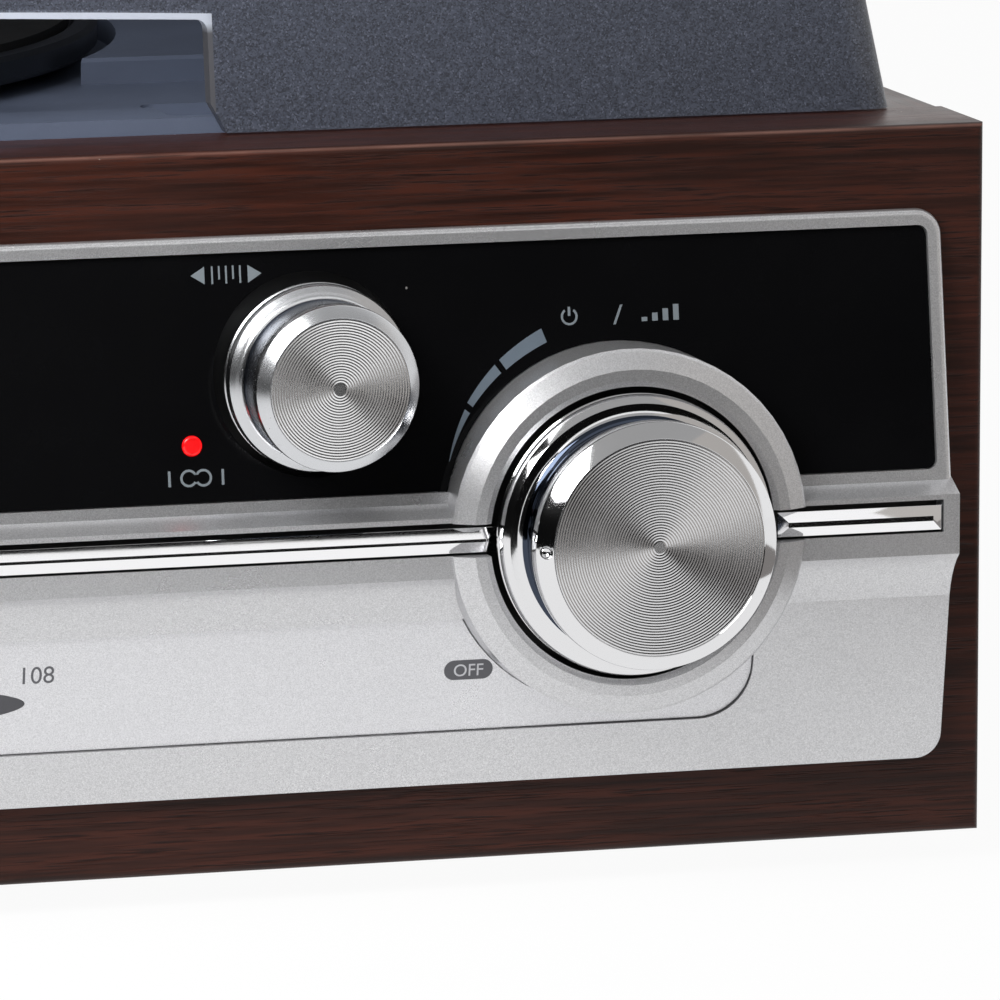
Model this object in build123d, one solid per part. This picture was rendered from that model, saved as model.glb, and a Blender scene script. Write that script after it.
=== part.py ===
"""Stereo music centre: a wooden cabinet with a radio front and a record deck under a hinged cover.

Units are millimetres. X runs to the right as the user faces the set, Y runs to the back, Z up.
The origin is the middle of the whole set's footprint, on the surface it stands on.
Inside this file a place along Y is given as a depth behind the cabinet's wooden front face, so
what stands proud of the wood has a negative depth. Every sub-part is one STEP file.
"""
from build123d import *
from math import atan2, cos, degrees, hypot, pi, radians, sin, sqrt, tan
import os

# ---------------------------------------------------------------- clearances
RUNNING = 0.05        # radial, a shaft turning in its own bore
SEAT = 0.3            # between a piece and the recess or post that holds it
MOVING = 0.6          # between moving pieces that pass each other

# ---------------------------------------------------------------- cabinet
CABINET_WIDTH = 445.0
CABINET_DEPTH = 330.0
CABINET_HEIGHT = 112.0
FRONT_BOARD = 21.0    # thickness of the front board
SIDE_BOARD = 12.0
BOTTOM_BOARD = 6.0
BOARD_ROUND = 1.2     # worn round along the outer edges of the boards
BATTEN = 12.0         # square section of the rails that carry the deck
REAR_PANEL = 3.0
REAR_INSET = 3.0      # rear panel behind the boards' back edges
FOOT_HEIGHT = 5.0
FOOT_RADIUS = 9.0
FOOT_INSET = 46.0     # foot centre from the cabinet's front, back and sides
FOOT_SCREW_RADIUS = 1.6
SCREW_HEAD_RADIUS = 3.0
SCREW_HEAD = 1.6
SCREW_LENGTH = 8.0
REAR_SCREW_SPREAD = 0.75    # lower rear screws stand nearer the middle than the upper pair

# ---------------------------------------------------------------- fascia
FASCIA_MARGIN = 7.5   # wood showing beside the fascia
FASCIA_BOTTOM = 12.5  # above the cabinet's underside
FASCIA_TOP = 99.0
FASCIA_LAP = 2.0      # how far the fascia covers the wood around its opening
FASCIA_CORNER = 4.0
REACH_TOP = 1.4       # how far the fascia stands proud at its top edge
REACH_BREAK = 7.8     # at the foot of the upper, leaning frame
REACH_BELT = 11.4     # at the belt across the middle
REACH_FLARE = 6.75    # where the flare below the belt meets the lower panel
REACH_BOTTOM = 2.4
BREAK_HEIGHT = 57.4   # heights of those lines above the cabinet's underside
BELT_TOP = 55.7
BELT_BOTTOM = 46.3
FLARE_END = 39.0
FASCIA_WALL = 2.4
FLARE_HOLLOW = 0.9    # how far the flare curves in from a straight line
END_BLOCK = 8.0       # solid end of the fascia that the control bracket is screwed to
CUP_WALL = 1.5
CUP_FLOOR = 1.0       # depth of the small knobs' cups
BOSS_SHOULDER = 1.6   # outer edge of the big boss behind its lip
BOSS_CREASE = 0.15    # crease between the boss's two bands behind its lip
BOSS_LIP = 0.6        # the lip's slope into the well
BOSS_EDGE = 0.4
BOSS_LIP_RADIUS = 23.7
WINDOW_PLAY = 0.15
LENS_LEDGE = 1.5
BAR_GAP = 0.35
WELL_OVERLAP = 1.0    # the belt's recess opens into the big knob's well
BAR_OVERHANG = 1.8    # middle bar's ends stand out into the wells
BAR_SHORTFALL = 1.3   # outer bars stop short of the wells
LED_PROUD = 0.4
LED_ROUND = 0.5
LED_BACK = 4.0

WINDOW_RIM = 2.4      # silver frame left round the black window
WINDOW_SINK = 0.7     # window face below the frame
WINDOW_THICKNESS = 1.5
WINDOW_LEDGE = 3.0
WINDOW_FOOT = 1.7     # frame between the window and the belt
WINDOW_CORNER = 1.5
RIM_ROUND = 1.0       # round along the fascia's outer edge

BAR_RECESS_BOTTOM = 49.8
BAR_RECESS_TOP = 54.9
BAR_SHADOW = 0.85     # dark line left above the bars
BAR_RECESS_DEEP = 3.2
BAR_PROUD = 0.5       # bar face in front of the belt
BAR_CHAMFER = 1.5
MIDDLE_BAR_CHAMFER = 1.85     # leaves the middle bar a mere line between its facets
BAR_END_MARGIN = 2.6  # belt left at the fascia's ends

PLATE_TOP = 39.1
PLATE_BOTTOM = 20.9
PLATE_END = 31.5      # from the fascia's end to the dial plate
PLATE_CORNER = 8.5
PLATE_THICKNESS = 1.2
PLATE_SINK = 0.6
LENS_LENGTH = 135.0   # dark pointer window in the dial plate
LENS_HEIGHT = 10.0
LENS_CENTRE = 29.0

# ---------------------------------------------------------------- knobs
BIG_KNOB_OFFSET = 61.1      # knob axis from the cabinet's side
BIG_KNOB_HEIGHT = 52.4      # above the cabinet's underside
BIG_DISC_RADIUS = 16.7
BIG_RIM_RADIUS = 19.2
BIG_NECK_RADIUS = 17.9
BIG_SKIRT_RADIUS = 21.8
BIG_REACH = 27.5            # knob face in front of the wood
BIG_RIM_REACH = 25.8
BIG_SKIRT_REACH = 16.7
BOSS_RADIUS = 28.4
BOSS_CREASE_RADIUS = 25.4
BOSS_REACH = 14.0
WELL_RADIUS = 22.7
WELL_FLOOR_REACH = 3.5
SMALL_KNOB_OFFSET = 109.4
SMALL_KNOB_HEIGHT = 77.7
SMALL_DISC_RADIUS = 10.9
SMALL_RIM_RADIUS = 12.8
SMALL_NECK_RADIUS = 12.2
SMALL_SKIRT_RADIUS = 14.5
SMALL_REACH = 20.3
SMALL_RIM_REACH = 18.9
SMALL_SKIRT_REACH = 9.0
SMALL_WELL_RADIUS = 15.6
KNOB_WALL = 1.6
DISC_THICKNESS = 1.0
SHAFT_RADIUS = 3.0
HUB_RADIUS = 5.5
POINTER_DIMPLE = 1.1        # radius of the dimple that marks the big knobs' setting
DIMPLE_SINK = 0.4
RIM_LAND = 2.2              # width of the rim behind its bevel
SKIRT_COVE = 1.2            # where the neck runs out into the skirt
SKIRT_GROOVE = 0.5
SKIRT_THICKNESS = 3.4       # the skirt is a thin flange round the neck
SHAFT_STOP = 5.0            # shaft's end behind the knob's face
SHAFT_INSIDE = 6.0          # shaft's length inside its control

LED_OFFSET = 128.8
LED_HEIGHT = 67.7
LED_RADIUS = 1.6

# ---------------------------------------------------------------- behind the fascia
BRACKET_DEPTH = 14.0        # front face of the control bracket
BRACKET_THICKNESS = 1.5
BRACKET_PLAY = 0.5          # between the bracket's ends and the front board
BRACKET_BOTTOM = 20.0
BRACKET_TOP = 90.0
BRACKET_POST_RADIUS = 3.0
BRACKET_POST_HEIGHTS = (24.0, 50.0)
LUG_THICKNESS = 1.0
LUG_LENGTH = 6.0
SPOOL_FLANGE = 1.2
DRUM_RIM = 3.0
DRUM_WEB = 2.5
CAPACITOR_GAP = 1.0
LEG_CLEARANCE = 4.0
LEG_THICKNESS = 1.2
LEG_WIDTH = 8.0
CORD_CLIP = 1.5             # half width of the carriage's clip on the cord
CARRIAGE_ROOF = 2.0
NEEDLE_KNEE = 3.0
NEEDLE_FRONT = 0.5
POT_RADIUS = 12.0
POT_LENGTH = 10.0
SWITCH_RADIUS = 15.0
SWITCH_LENGTH = 16.0
BUSH_RADIUS = 4.6
BUSH_LENGTH = 6.0           # threaded bush in front of the bracket
NUT_RADIUS = 6.4
NUT_THICKNESS = 2.0
POINTER_TRAVEL = 100.0      # whole sweep of the tuning pointer
DRUM_RADIUS = POINTER_TRAVEL / pi   # half a turn of the drum sweeps the pointer once
DRUM_WIDTH = 5.0
DRUM_HEIGHT = 52.0
DRUM_FLANGE = 1.3
CORD_RADIUS = 0.4
CORD_DEPTH = 21.0
IDLER_RADIUS = 4.0
IDLER_SPACING = 150.0
IDLER_HEIGHT = 82.0
CAPACITOR_SIDE = 24.0
CAPACITOR_LENGTH = 18.0
NEEDLE_WIDTH = 1.0
NEEDLE_DEPTH = 5.0
NEEDLE_BOTTOM = 24.5
CARRIAGE_WIDTH = 12.0

# ---------------------------------------------------------------- record deck
DECK_FRONT = 22.0
DECK_RISE = 2.4             # deck above the wood
DECK_SLAB = 3.0             # deck below the wood's top
DECK_TO_BACK = 24.0         # end of the raised part
DECK_STEP = 0.8
DECK_BAND = 13.6            # width of the front band before the step down
PLATFORM_FRONT = 72.0       # the platform round the platter, which carries the tonearm
PLATFORM_RISE = 5.8         # above the wood
PLATFORM_SKIN = 3.0         # the platform is hollow below
PLATFORM_EDGE = 0.6
PLATTER_ROOM = 3.0          # between the platter and the platform's round opening
WELL_RADIUS_DECK = 100.0
WELL_DEEP = 10.0
WELL_WALL = 3.0
RAISED_GAP = 1.7            # raised deck inside the cover's foot
DECK_CORNER = 8.0
DECK_RIM = 6.0
MOTOR_HOLE = 4.0
PLATTER_DEPTH = 132.0       # platter centre behind the front face
PLATTER_RADIUS = 110.0
PLATTER_LIFT = 4.0          # platter rim's underside above the wood's top
PLATTER_RIM = 4.5
PLATTER_WEB = 2.2
PLATTER_EDGE = 3.5
DRIVE_RADIUS = 62.0
DRIVE_RIM = 3.0
DRIVE_DROP = 14.0
MAT_THICKNESS = 1.8
MAT_SINK = 0.8
SPINDLE_RADIUS = 3.55       # for a record's centre hole
SPINDLE_BEARING = 4.0       # the thicker part that the platter turns on
SPINDLE_ABOVE = 10.0        # spindle above the mat
BEARING_RADIUS = 8.0
BEARING_LENGTH = 12.0
PULLEY_RADIUS = 5.0
PULLEY_DISTANCE = 82.0      # motor axis from the platter's axis
PULLEY_BEARING = 135.0      # direction of the motor from the platter, degrees from +X
PULLEY_HEIGHT = 7.0
BELT_WIDTH = 4.5
BELT_THICKNESS = 0.8
BELT_GAP = 0.3
MOTOR_RADIUS = 16.0
MOTOR_HEIGHT = 28.0
MOTOR_SHAFT_RADIUS = 1.0
MOTOR_PLATE = 2.0
MOTOR_EAR = 24.0
MOTOR_BORE = 8.0
COLLAR_RADIUS = 7.0
COLLAR_HEIGHT = 5.0
SPINDLE_TAPER = 3.0
RIM_SLOPE = 4.0
RIM_CHAMFER = 0.8
MAT_RINGS = (0.45, 0.62, 0.8)
MAT_GROOVE = 0.6
MAT_LABEL_RADIUS = 44.0     # recess under a record's label

# ---------------------------------------------------------------- tonearm
ARM_PIVOT_ASIDE = 67.5      # arm's pivot from the cabinet's side
ARM_PIVOT_BACK = 76.0       # arm's pivot from the cabinet's back
ARM_OVERHANG = 14.0         # stylus past the spindle
ARM_REST_ANGLE = 4.5        # the parked arm leans this far outwards
RECORD_THICKNESS = 2.0
RECORD_RADIUS = 150.8       # a twelve-inch record
ARM_TUBE_RADIUS = 3.2
ARM_BLOCK = 10.0            # square block that carries the tube and its axle
ARM_AXLE_RADIUS = 1.5
ARM_EAR = 3.0
ARM_TAIL = 40.0
CARTRIDGE_HEIGHT = 9.0
CARTRIDGE_WIDTH = 12.0
CARTRIDGE_LENGTH = 22.0
STYLUS_LENGTH = 3.0
HEADSHELL_LENGTH = 30.0
HEADSHELL_WIDTH = 16.0
HEADSHELL_THICKNESS = 2.5
ARM_BASE_RADIUS = 17.0
ARM_BASE_HEIGHT = 6.6
YOKE_RADIUS = 13.0
YOKE_SHAFT_RADIUS = 3.0
WEIGHT_RADIUS = 11.0
WEIGHT_LENGTH = 16.0
REST_DISTANCE = 118.0       # rest post from the arm's pivot, along the parked arm
REST_RADIUS = 4.0
CLIP_WIDTH = 4.0
LIFT_DISTANCE = 40.0        # lift bar from the arm's pivot
LIFT_RADIUS = 1.5
LIFT_BAR_WIDTH = 3.0
LIFT_BAR_THICK = 2.0
LIFT_STEM_ANGLE = 22.0      # stem's direction from the parked arm, towards the platter
LIFT_SWEEP_IN = 48.0        # bar's reach from the parked arm towards the platter
LIFT_SWEEP = 58.0
LIFT_STEM_END = 1.8
LIFT_ROOM = 1.0
LIFT_GUIDE_RADIUS = 3.2
LIFT_GUIDE_HEIGHT = 11.6
HEADSHELL_NOSE = 8.0
HEADSHELL_CORNER = 3.0
FINGER_REACH = 7.0
FINGER_WIDTH = 3.0
STYLUS_AHEAD = 5.0
STYLUS_TIP_RADIUS = 0.3
STYLUS_ROOT_RADIUS = 1.2
WEIGHT_GAP = 5.5            # behind the fork, so that a lifted arm's weight clears the pillar
YOKE_FLOOR = 3.0
YOKE_SHAFT_END = 0.8
EAR_HALF = 4.0
EAR_ABOVE = 4.0
REST_LENGTH = 12.0
REST_WALL = 2.0
REST_SHELF = 3.0
REST_FOOT = 2.0
CLIP_X = 8.5
CLIP_HUB = 2.2
CLIP_DROP = 3.0
CLIP_THICK = 1.4
CLIP_ROOM = 2.4
CLIP_PIN_RADIUS = 0.8
CLIP_OPEN = 95.0            # degrees the open clip lies outwards
CUE_ASIDE = 28.0            # cue lever's pivot to the right of the arm's
CUE_BEHIND = 10.0
CUE_LIFT = 5.6
CUE_EAR = 3.0
CUE_WIDTH = 4.0
CUE_THICK = 2.0
CUE_HUB_RADIUS = 3.0
CUE_TIP_RADIUS = 2.4
CUE_PIN_RADIUS = 1.2
CUE_LEVER_LENGTH = 26.0
SPEED_SLOT_ASIDE = 82.6     # right end of the speed selector's recess from the cabinet's side
SPEED_SLOT_LENGTH = 41.7
SPEED_SLOT_FRONT = 24.5
SPEED_SLOT_BACK = 45.5
SPEED_SLOT_DEEP = 3.0
SPEED_TRAVEL = 10.0         # from the middle speed to either neighbour
SPEED_SLOT_CORNER = 2.5
SPEED_STEM = 3.0
SPEED_TAIL = 3.0
SPEED_CAP = 8.0
SPEED_CAP_HEIGHT = 5.0

# ---------------------------------------------------------------- dust cover
COVER_MARGIN = 8.8          # wood showing beside the cover
COVER_FRONT = 18.0
COVER_TO_BACK = 19.0        # cover's rear wall from the cabinet's back
COVER_HEIGHT = 62.0
COVER_WALL = 3.0
COVER_LEAN = 9.5            # degrees, front and sides
COVER_BACK_LEAN = 3.0
COVER_CORNER = 4.0
COVER_TOP_ROUND = 3.0
COVER_GAP = 0.3
RECORD_PLAY = 4.5           # beside a record that stands out through the notch
NOTCH_HEIGHT = 17.6
NOTCH_FLARE = 2.4
NOTCH_ROUND = 1.8
NOTCH_CROWN = 2.2           # rise of the notch's top edge at its middle
HINGE_SPACING = 290.0
HINGE_TO_BACK = 10.0
HINGE_LIFT = 7.5            # pin above the wood's top
HINGE_WIDTH = 30.0
HINGE_KNUCKLE = 4.0
HINGE_PIN_RADIUS = 1.5
HINGE_LEAF = 2.0
HINGE_ARM_WIDTH = 10.0
HINGE_FOOT = 6.5
HINGE_LEAF_HEIGHT = 14.0

# ---------------------------------------------------------------- electrics
BOARD_THICKNESS = 1.6
BOARD_LIFT = 6.0
BOARD_WIDTH = 190.0
BOARD_LENGTH = 100.0
BOARD_LEFT = -60.0
BOARD_TO_BACK = 130.0       # its front edge from the cabinet's back
CAN_COUNT = 4               # small capacitors, each with a coil behind it
CAN_PITCH = 22.0
CAN_RADIUS = 5.0
CAN_HEIGHT = 14.0
CAN_INSET = 25.0
COIL_CAN_SIDE = 8.0
COIL_CAN_LENGTH = 18.0
COIL_CAN_HEIGHT = 4.0
BIG_CAN_RADIUS = 9.0
BIG_CAN_HEIGHT = 26.0
BIG_CAN_INSET = 30.0
HEAT_SINK_LENGTH = 50.0
HEAT_SINK_INSET = 20.0
HEAT_SINK_THICKNESS = 3.0
HEAT_SINK_HEIGHT = 32.0
PLUG_LENGTH = 45.0
PLUG_WIDTH = 8.0
PLUG_INSET = 15.0
BOARD_MARGIN = 8.0
BOARD_PILLAR = 3.0
TRANSFORMER_ASIDE = 87.5    # its middle from the cabinet's left side
TRANSFORMER_BACK = 68.0
CORE_WIDTH = 52.0
CORE_LENGTH = 22.0
CORE_HEIGHT = 43.0
COIL_WIDTH = 36.0
COIL_LENGTH = 40.0
COIL_HEIGHT = 29.0
COIL_ROUND = 3.0
FOOT_PLATE_WIDTH = 68.0
FOOT_PLATE_LENGTH = 36.0
FOOT_PLATE = 2.0
SPEAKER_RADIUS = 38.5
SPEAKER_DEPTH = 110.0
SPEAKER_FLANGE = 2.0
SPEAKER_BASKET = 24.0
MAGNET_RADIUS = 22.0
MAGNET_LENGTH = 10.0
CONE_SINK = 0.8
CONE_LIFT = 6.0
CONE_NECK = 9.0
SLOT_COUNT = 9
SLOT_PITCH = 7.5
SLOT_WIDTH = 3.5
SLOT_INSET = 5.0            # slots inside the speaker's edge
SPEAKER_LIFT = 50.0         # speaker axis above the cabinet's underside
VENT_ROWS = 4
VENT_COLUMNS = 3
VENT_PITCH = 16.0
VENT_LONG = 12.0
VENT_HIGH = 2.5
VENT_LIFT = 55.0
JACK_RADIUS = 4.15
JACK_LENGTH = 8.5
JACK_SPACING = 14.0
JACK_X = 40.0
JACK_INSIDE = 12.0
JACK_BORE = 1.7
JACK_HEIGHT = 42.0
GLAND_ASIDE = 72.5          # gland's axis from the cabinet's side
GLAND_RADIUS = 7.0
GLAND_BORE = 3.4            # for a mains lead about 6.4 across
GLAND_LENGTH = 12.0
GLAND_COLLAR = 2.0

# ---------------------------------------------------------------- derived places
HALF_WIDTH = CABINET_WIDTH / 2
INNER_HALF = HALF_WIDTH - SIDE_BOARD
BASE = FOOT_HEIGHT
TOP = BASE + CABINET_HEIGHT
REAR_FACE = CABINET_DEPTH - REAR_INSET
JACK_BACK = REAR_FACE + JACK_LENGTH
FRONT_Y = -(JACK_BACK - BIG_REACH) / 2   # world Y of the wooden front face
FASCIA_HALF = HALF_WIDTH - FASCIA_MARGIN
BRACKET_HALF_WIDTH = FASCIA_HALF - FASCIA_LAP - BRACKET_PLAY
DECK_TOP = TOP + DECK_RISE
DECK_FLOOR = DECK_TOP - DECK_STEP
PLATFORM_TOP = TOP + PLATFORM_RISE
WELL_FLOOR = TOP - WELL_DEEP
PLATTER_BOTTOM = TOP + PLATTER_LIFT
PLATTER_TOP = PLATTER_BOTTOM + PLATTER_RIM
MAT_TOP = PLATTER_TOP - MAT_SINK + MAT_THICKNESS
BIG_KNOB_X = HALF_WIDTH - BIG_KNOB_OFFSET
BIG_KNOB_Z = BASE + BIG_KNOB_HEIGHT
SMALL_KNOB_X = HALF_WIDTH - SMALL_KNOB_OFFSET
SMALL_KNOB_Z = BASE + SMALL_KNOB_HEIGHT
ARM_PIVOT_X = HALF_WIDTH - ARM_PIVOT_ASIDE
ARM_PIVOT_DEPTH = CABINET_DEPTH - ARM_PIVOT_BACK
ARM_REACH = hypot(ARM_PIVOT_X, ARM_PIVOT_DEPTH - PLATTER_DEPTH) + ARM_OVERHANG
NOTCH_HALF_WIDTH = sqrt(RECORD_RADIUS ** 2 - (PLATTER_DEPTH - COVER_FRONT) ** 2) + RECORD_PLAY
STYLUS_TIP = MAT_TOP + RECORD_THICKNESS
ARM_AXIS_Z = STYLUS_TIP + STYLUS_LENGTH + CARTRIDGE_HEIGHT + HEADSHELL_THICKNESS / 2
PULLEY_X = PULLEY_DISTANCE * cos(radians(PULLEY_BEARING))
PULLEY_DEPTH = PLATTER_DEPTH + PULLEY_DISTANCE * sin(radians(PULLEY_BEARING))
PULLEY_BOTTOM = WELL_FLOOR + 1.0
BELT_FOOT = PULLEY_BOTTOM + (PULLEY_HEIGHT - BELT_WIDTH) / 2
CUE_X = ARM_PIVOT_X + CUE_ASIDE
CUE_DEPTH = ARM_PIVOT_DEPTH + CUE_BEHIND
CUE_Z = PLATFORM_TOP + CUE_LIFT
HINGE_Z = TOP + HINGE_LIFT
HINGE_DEPTH = CABINET_DEPTH - HINGE_TO_BACK
COVER_BACK = CABINET_DEPTH - COVER_TO_BACK
DECK_BACK = CABINET_DEPTH - DECK_TO_BACK
SPEED_SLOT_RIGHT = HALF_WIDTH - SPEED_SLOT_ASIDE
SPEED_SLOT_LEFT = SPEED_SLOT_RIGHT - SPEED_SLOT_LENGTH
TRANSFORMER_X = TRANSFORMER_ASIDE - HALF_WIDTH
TRANSFORMER_DEPTH = CABINET_DEPTH - TRANSFORMER_BACK
BOARD_FRONT = CABINET_DEPTH - BOARD_TO_BACK
SPEAKER_HEIGHT = BASE + SPEAKER_LIFT
JACK_Z = BASE + JACK_HEIGHT
GLAND_X = GLAND_ASIDE - HALF_WIDTH
VENT_Z = BASE + VENT_LIFT
FEET_X = HALF_WIDTH - FOOT_INSET
FEET_DEPTHS = (FOOT_INSET, CABINET_DEPTH - FOOT_INSET)


# ---------------------------------------------------------------- helpers
def place(x, depth, z):
    """A location from a place across, behind the front face and above the floor."""
    return Pos(x, FRONT_Y + depth, z)


def block(left, right, front, back, low, high):
    """A box between six planes."""
    size = Box(right - left, back - front, high - low)
    return place((left + right) / 2, (front + back) / 2, (low + high) / 2) * size


def rod(radius, x, front, back, z):
    """A cylinder along Y."""
    return place(x, (front + back) / 2, z) * Rot(90, 0, 0) * Cylinder(radius, back - front)


def post(radius, x, depth, low, high):
    """An upright cylinder."""
    return place(x, depth, (low + high) / 2) * Cylinder(radius, high - low)


def turned(points, x, z):
    """A solid turned about an axis along Y, from (radius, depth) points."""
    outline = make_face(Polyline(*points, close=True))
    return place(x, 0, z) * revolve(outline, Axis.Y)


def turned_upright(points, x, depth):
    """A solid turned about an upright axis, from (radius, height) points."""
    outline = Plane.XZ * make_face(Polyline(*points, close=True))
    return place(x, depth, 0) * revolve(outline, Axis.Z)


def across(outline, half_width):
    """A face drawn in (depth, height), made solid from one side to the other."""
    upright = Plane(origin=(0, FRONT_Y, 0), x_dir=(0, 1, 0), z_dir=(1, 0, 0)) * outline
    return extrude(upright, amount=half_width, both=True)


def mirrored(shape):
    """The same shape on the other side of the set."""
    return shape.mirror(Plane.YZ)


def both_sides(shape):
    """The shape and its mirror image, as two separate solids."""
    return Compound(children=[shape, mirrored(shape)])


def slant(low_height, low_reach, high_height, high_reach):
    """A plane on a leaning face of the fascia, its origin at the lower line."""
    rise = Vector(0, low_reach - high_reach, high_height - low_height)
    outward = Vector(1, 0, 0).cross(rise).normalized()
    return Plane(origin=(0, FRONT_Y - low_reach, BASE + low_height), x_dir=(1, 0, 0), z_dir=outward)


UPPER_FACE = slant(BREAK_HEIGHT, REACH_BREAK, FASCIA_TOP, REACH_TOP)
LOWER_FACE = slant(FASCIA_BOTTOM, REACH_BOTTOM, FLARE_END, REACH_FLARE)
UPPER_LENGTH = hypot(FASCIA_TOP - BREAK_HEIGHT, REACH_BREAK - REACH_TOP)


def on_upper(height):
    """Distance up the leaning upper frame at a height above the cabinet's underside."""
    return (height - BREAK_HEIGHT) * UPPER_LENGTH / (FASCIA_TOP - BREAK_HEIGHT)


def reach_at(height):
    """How far the fascia's leaning faces stand proud at a height above the underside."""
    if height > BREAK_HEIGHT:
        share = (height - BREAK_HEIGHT) / (FASCIA_TOP - BREAK_HEIGHT)
        return REACH_BREAK + share * (REACH_TOP - REACH_BREAK)
    share = (height - FASCIA_BOTTOM) / (FLARE_END - FASCIA_BOTTOM)
    return REACH_BOTTOM + share * (REACH_FLARE - REACH_BOTTOM)


# ---------------------------------------------------------------- cabinet pieces
def screw_places():
    """Feet and rear screws: (x, depth, z) of the head's seat and the direction of the shank."""
    places = []
    for x in (-FEET_X, FEET_X):
        for depth in FEET_DEPTHS:
            places.append((x, depth, FOOT_HEIGHT / 2, "up"))
    for x in (-INNER_HALF + BATTEN / 2, INNER_HALF - BATTEN / 2):
        places.append((x, REAR_FACE, TOP - DECK_SLAB - BATTEN / 2, "forward"))
        places.append((x * REAR_SCREW_SPREAD, REAR_FACE, BASE + BOTTOM_BOARD / 2, "forward"))
    return places


def shank(x, depth, z, way, length):
    """The shank of a case screw, also used to cut its hole."""
    if way == "up":
        return post(FOOT_SCREW_RADIUS, x, depth, z, z + length)
    return rod(FOOT_SCREW_RADIUS, x, depth - length, depth, z)


def drilled(piece):
    """The piece with holes for the case screws that pass through it."""
    for x, depth, z, way in screw_places():
        piece -= shank(x, depth, z, way, SCREW_LENGTH)
    return piece


def case_screws():
    screws = []
    for x, depth, z, way in screw_places():
        if way == "up":
            head = post(SCREW_HEAD_RADIUS, x, depth, z - SCREW_HEAD, z)
        else:
            head = rod(SCREW_HEAD_RADIUS, x, depth, depth + SCREW_HEAD, z)
        screws.append(head + shank(x, depth, z, way, SCREW_LENGTH))
    return Compound(children=screws)


def front_board():
    board = block(-HALF_WIDTH, HALF_WIDTH, 0, FRONT_BOARD, BASE, TOP)
    board = fillet(board.faces().sort_by(Axis.Y)[0].edges(), BOARD_ROUND)
    half = FASCIA_HALF - FASCIA_LAP
    low = BASE + FASCIA_BOTTOM + FASCIA_LAP
    return board - block(-half, half, -1, FRONT_BOARD + 1, low, BASE + FASCIA_TOP - FASCIA_LAP)


def side_board():
    board = block(INNER_HALF, HALF_WIDTH, FRONT_BOARD, CABINET_DEPTH, BASE, TOP)
    board = fillet(board.faces().sort_by(Axis.X)[-1].edges().filter_by(Axis.Y), BOARD_ROUND)
    for index in range(SLOT_COUNT):
        offset = (index - (SLOT_COUNT - 1) / 2) * SLOT_PITCH
        half = sqrt((SPEAKER_RADIUS - SLOT_INSET) ** 2 - offset ** 2) - SLOT_WIDTH / 2
        depth = SPEAKER_DEPTH + offset
        middle = place(HALF_WIDTH - SIDE_BOARD / 2, depth, SPEAKER_HEIGHT)
        slot = Rot(0, 90, 0) * extrude(SlotCenterToCenter(2 * half, SLOT_WIDTH), SIDE_BOARD, both=True)
        board -= middle * slot
    return board


def bottom_board():
    back = REAR_FACE - REAR_PANEL
    return drilled(block(-INNER_HALF, INNER_HALF, FRONT_BOARD, back, BASE, BASE + BOTTOM_BOARD))


def deck_battens():
    top = TOP - DECK_SLAB
    back = REAR_FACE - REAR_PANEL
    rail = drilled(block(INNER_HALF - BATTEN, INNER_HALF, FRONT_BOARD, back, top - BATTEN, top))
    return both_sides(rail)


def rear_panel():
    front = REAR_FACE - REAR_PANEL
    panel = block(-INNER_HALF, INNER_HALF, front, REAR_FACE, BASE, TOP - DECK_SLAB)
    for x in jack_places():
        panel -= rod(JACK_RADIUS, x, front - 1, REAR_FACE + 1, JACK_Z)
    panel -= rod(GLAND_RADIUS, GLAND_X, front - 1, REAR_FACE + 1, JACK_Z)
    for row in range(VENT_ROWS):
        for column in range(VENT_COLUMNS):
            x = TRANSFORMER_X + (column - (VENT_COLUMNS - 1) / 2) * VENT_PITCH
            z = VENT_Z + row * VENT_PITCH
            panel -= block(x - VENT_LONG / 2, x + VENT_LONG / 2, front - 1, REAR_FACE + 1,
                           z - VENT_HIGH / 2, z + VENT_HIGH / 2)
    return drilled(panel)


def rubber_feet():
    feet = []
    for x in (-FEET_X, FEET_X):
        for depth in FEET_DEPTHS:
            foot = place(x, depth, FOOT_HEIGHT / 2) * Cone(FOOT_RADIUS, FOOT_RADIUS + 1, FOOT_HEIGHT)
            foot -= post(FOOT_SCREW_RADIUS, x, depth, 0, FOOT_HEIGHT)
            foot -= post(SCREW_HEAD_RADIUS + SEAT, x, depth, -1, FOOT_HEIGHT / 2)
            feet.append(foot)
    return Compound(children=feet)


# ---------------------------------------------------------------- fascia pieces
def fascia_outline():
    """Section of the fascia in (depth, height)."""
    belt_foot = (-REACH_BELT, BASE + BELT_BOTTOM)
    flare_end = (-REACH_FLARE, BASE + FLARE_END)
    waist = (-(REACH_BELT + REACH_FLARE) / 2 + FLARE_HOLLOW,
             BASE + (BELT_BOTTOM + FLARE_END) / 2)
    upper = Polyline((0, BASE + FASCIA_TOP), (-REACH_TOP, BASE + FASCIA_TOP),
                     (-REACH_BREAK, BASE + BREAK_HEIGHT), (-REACH_BELT, BASE + BELT_TOP), belt_foot)
    lower = Polyline(flare_end, (-REACH_BOTTOM, BASE + FASCIA_BOTTOM), (0, BASE + FASCIA_BOTTOM),
                     (0, BASE + FASCIA_TOP))
    return make_face(upper + ThreePointArc(belt_foot, waist, flare_end) + lower)


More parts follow.
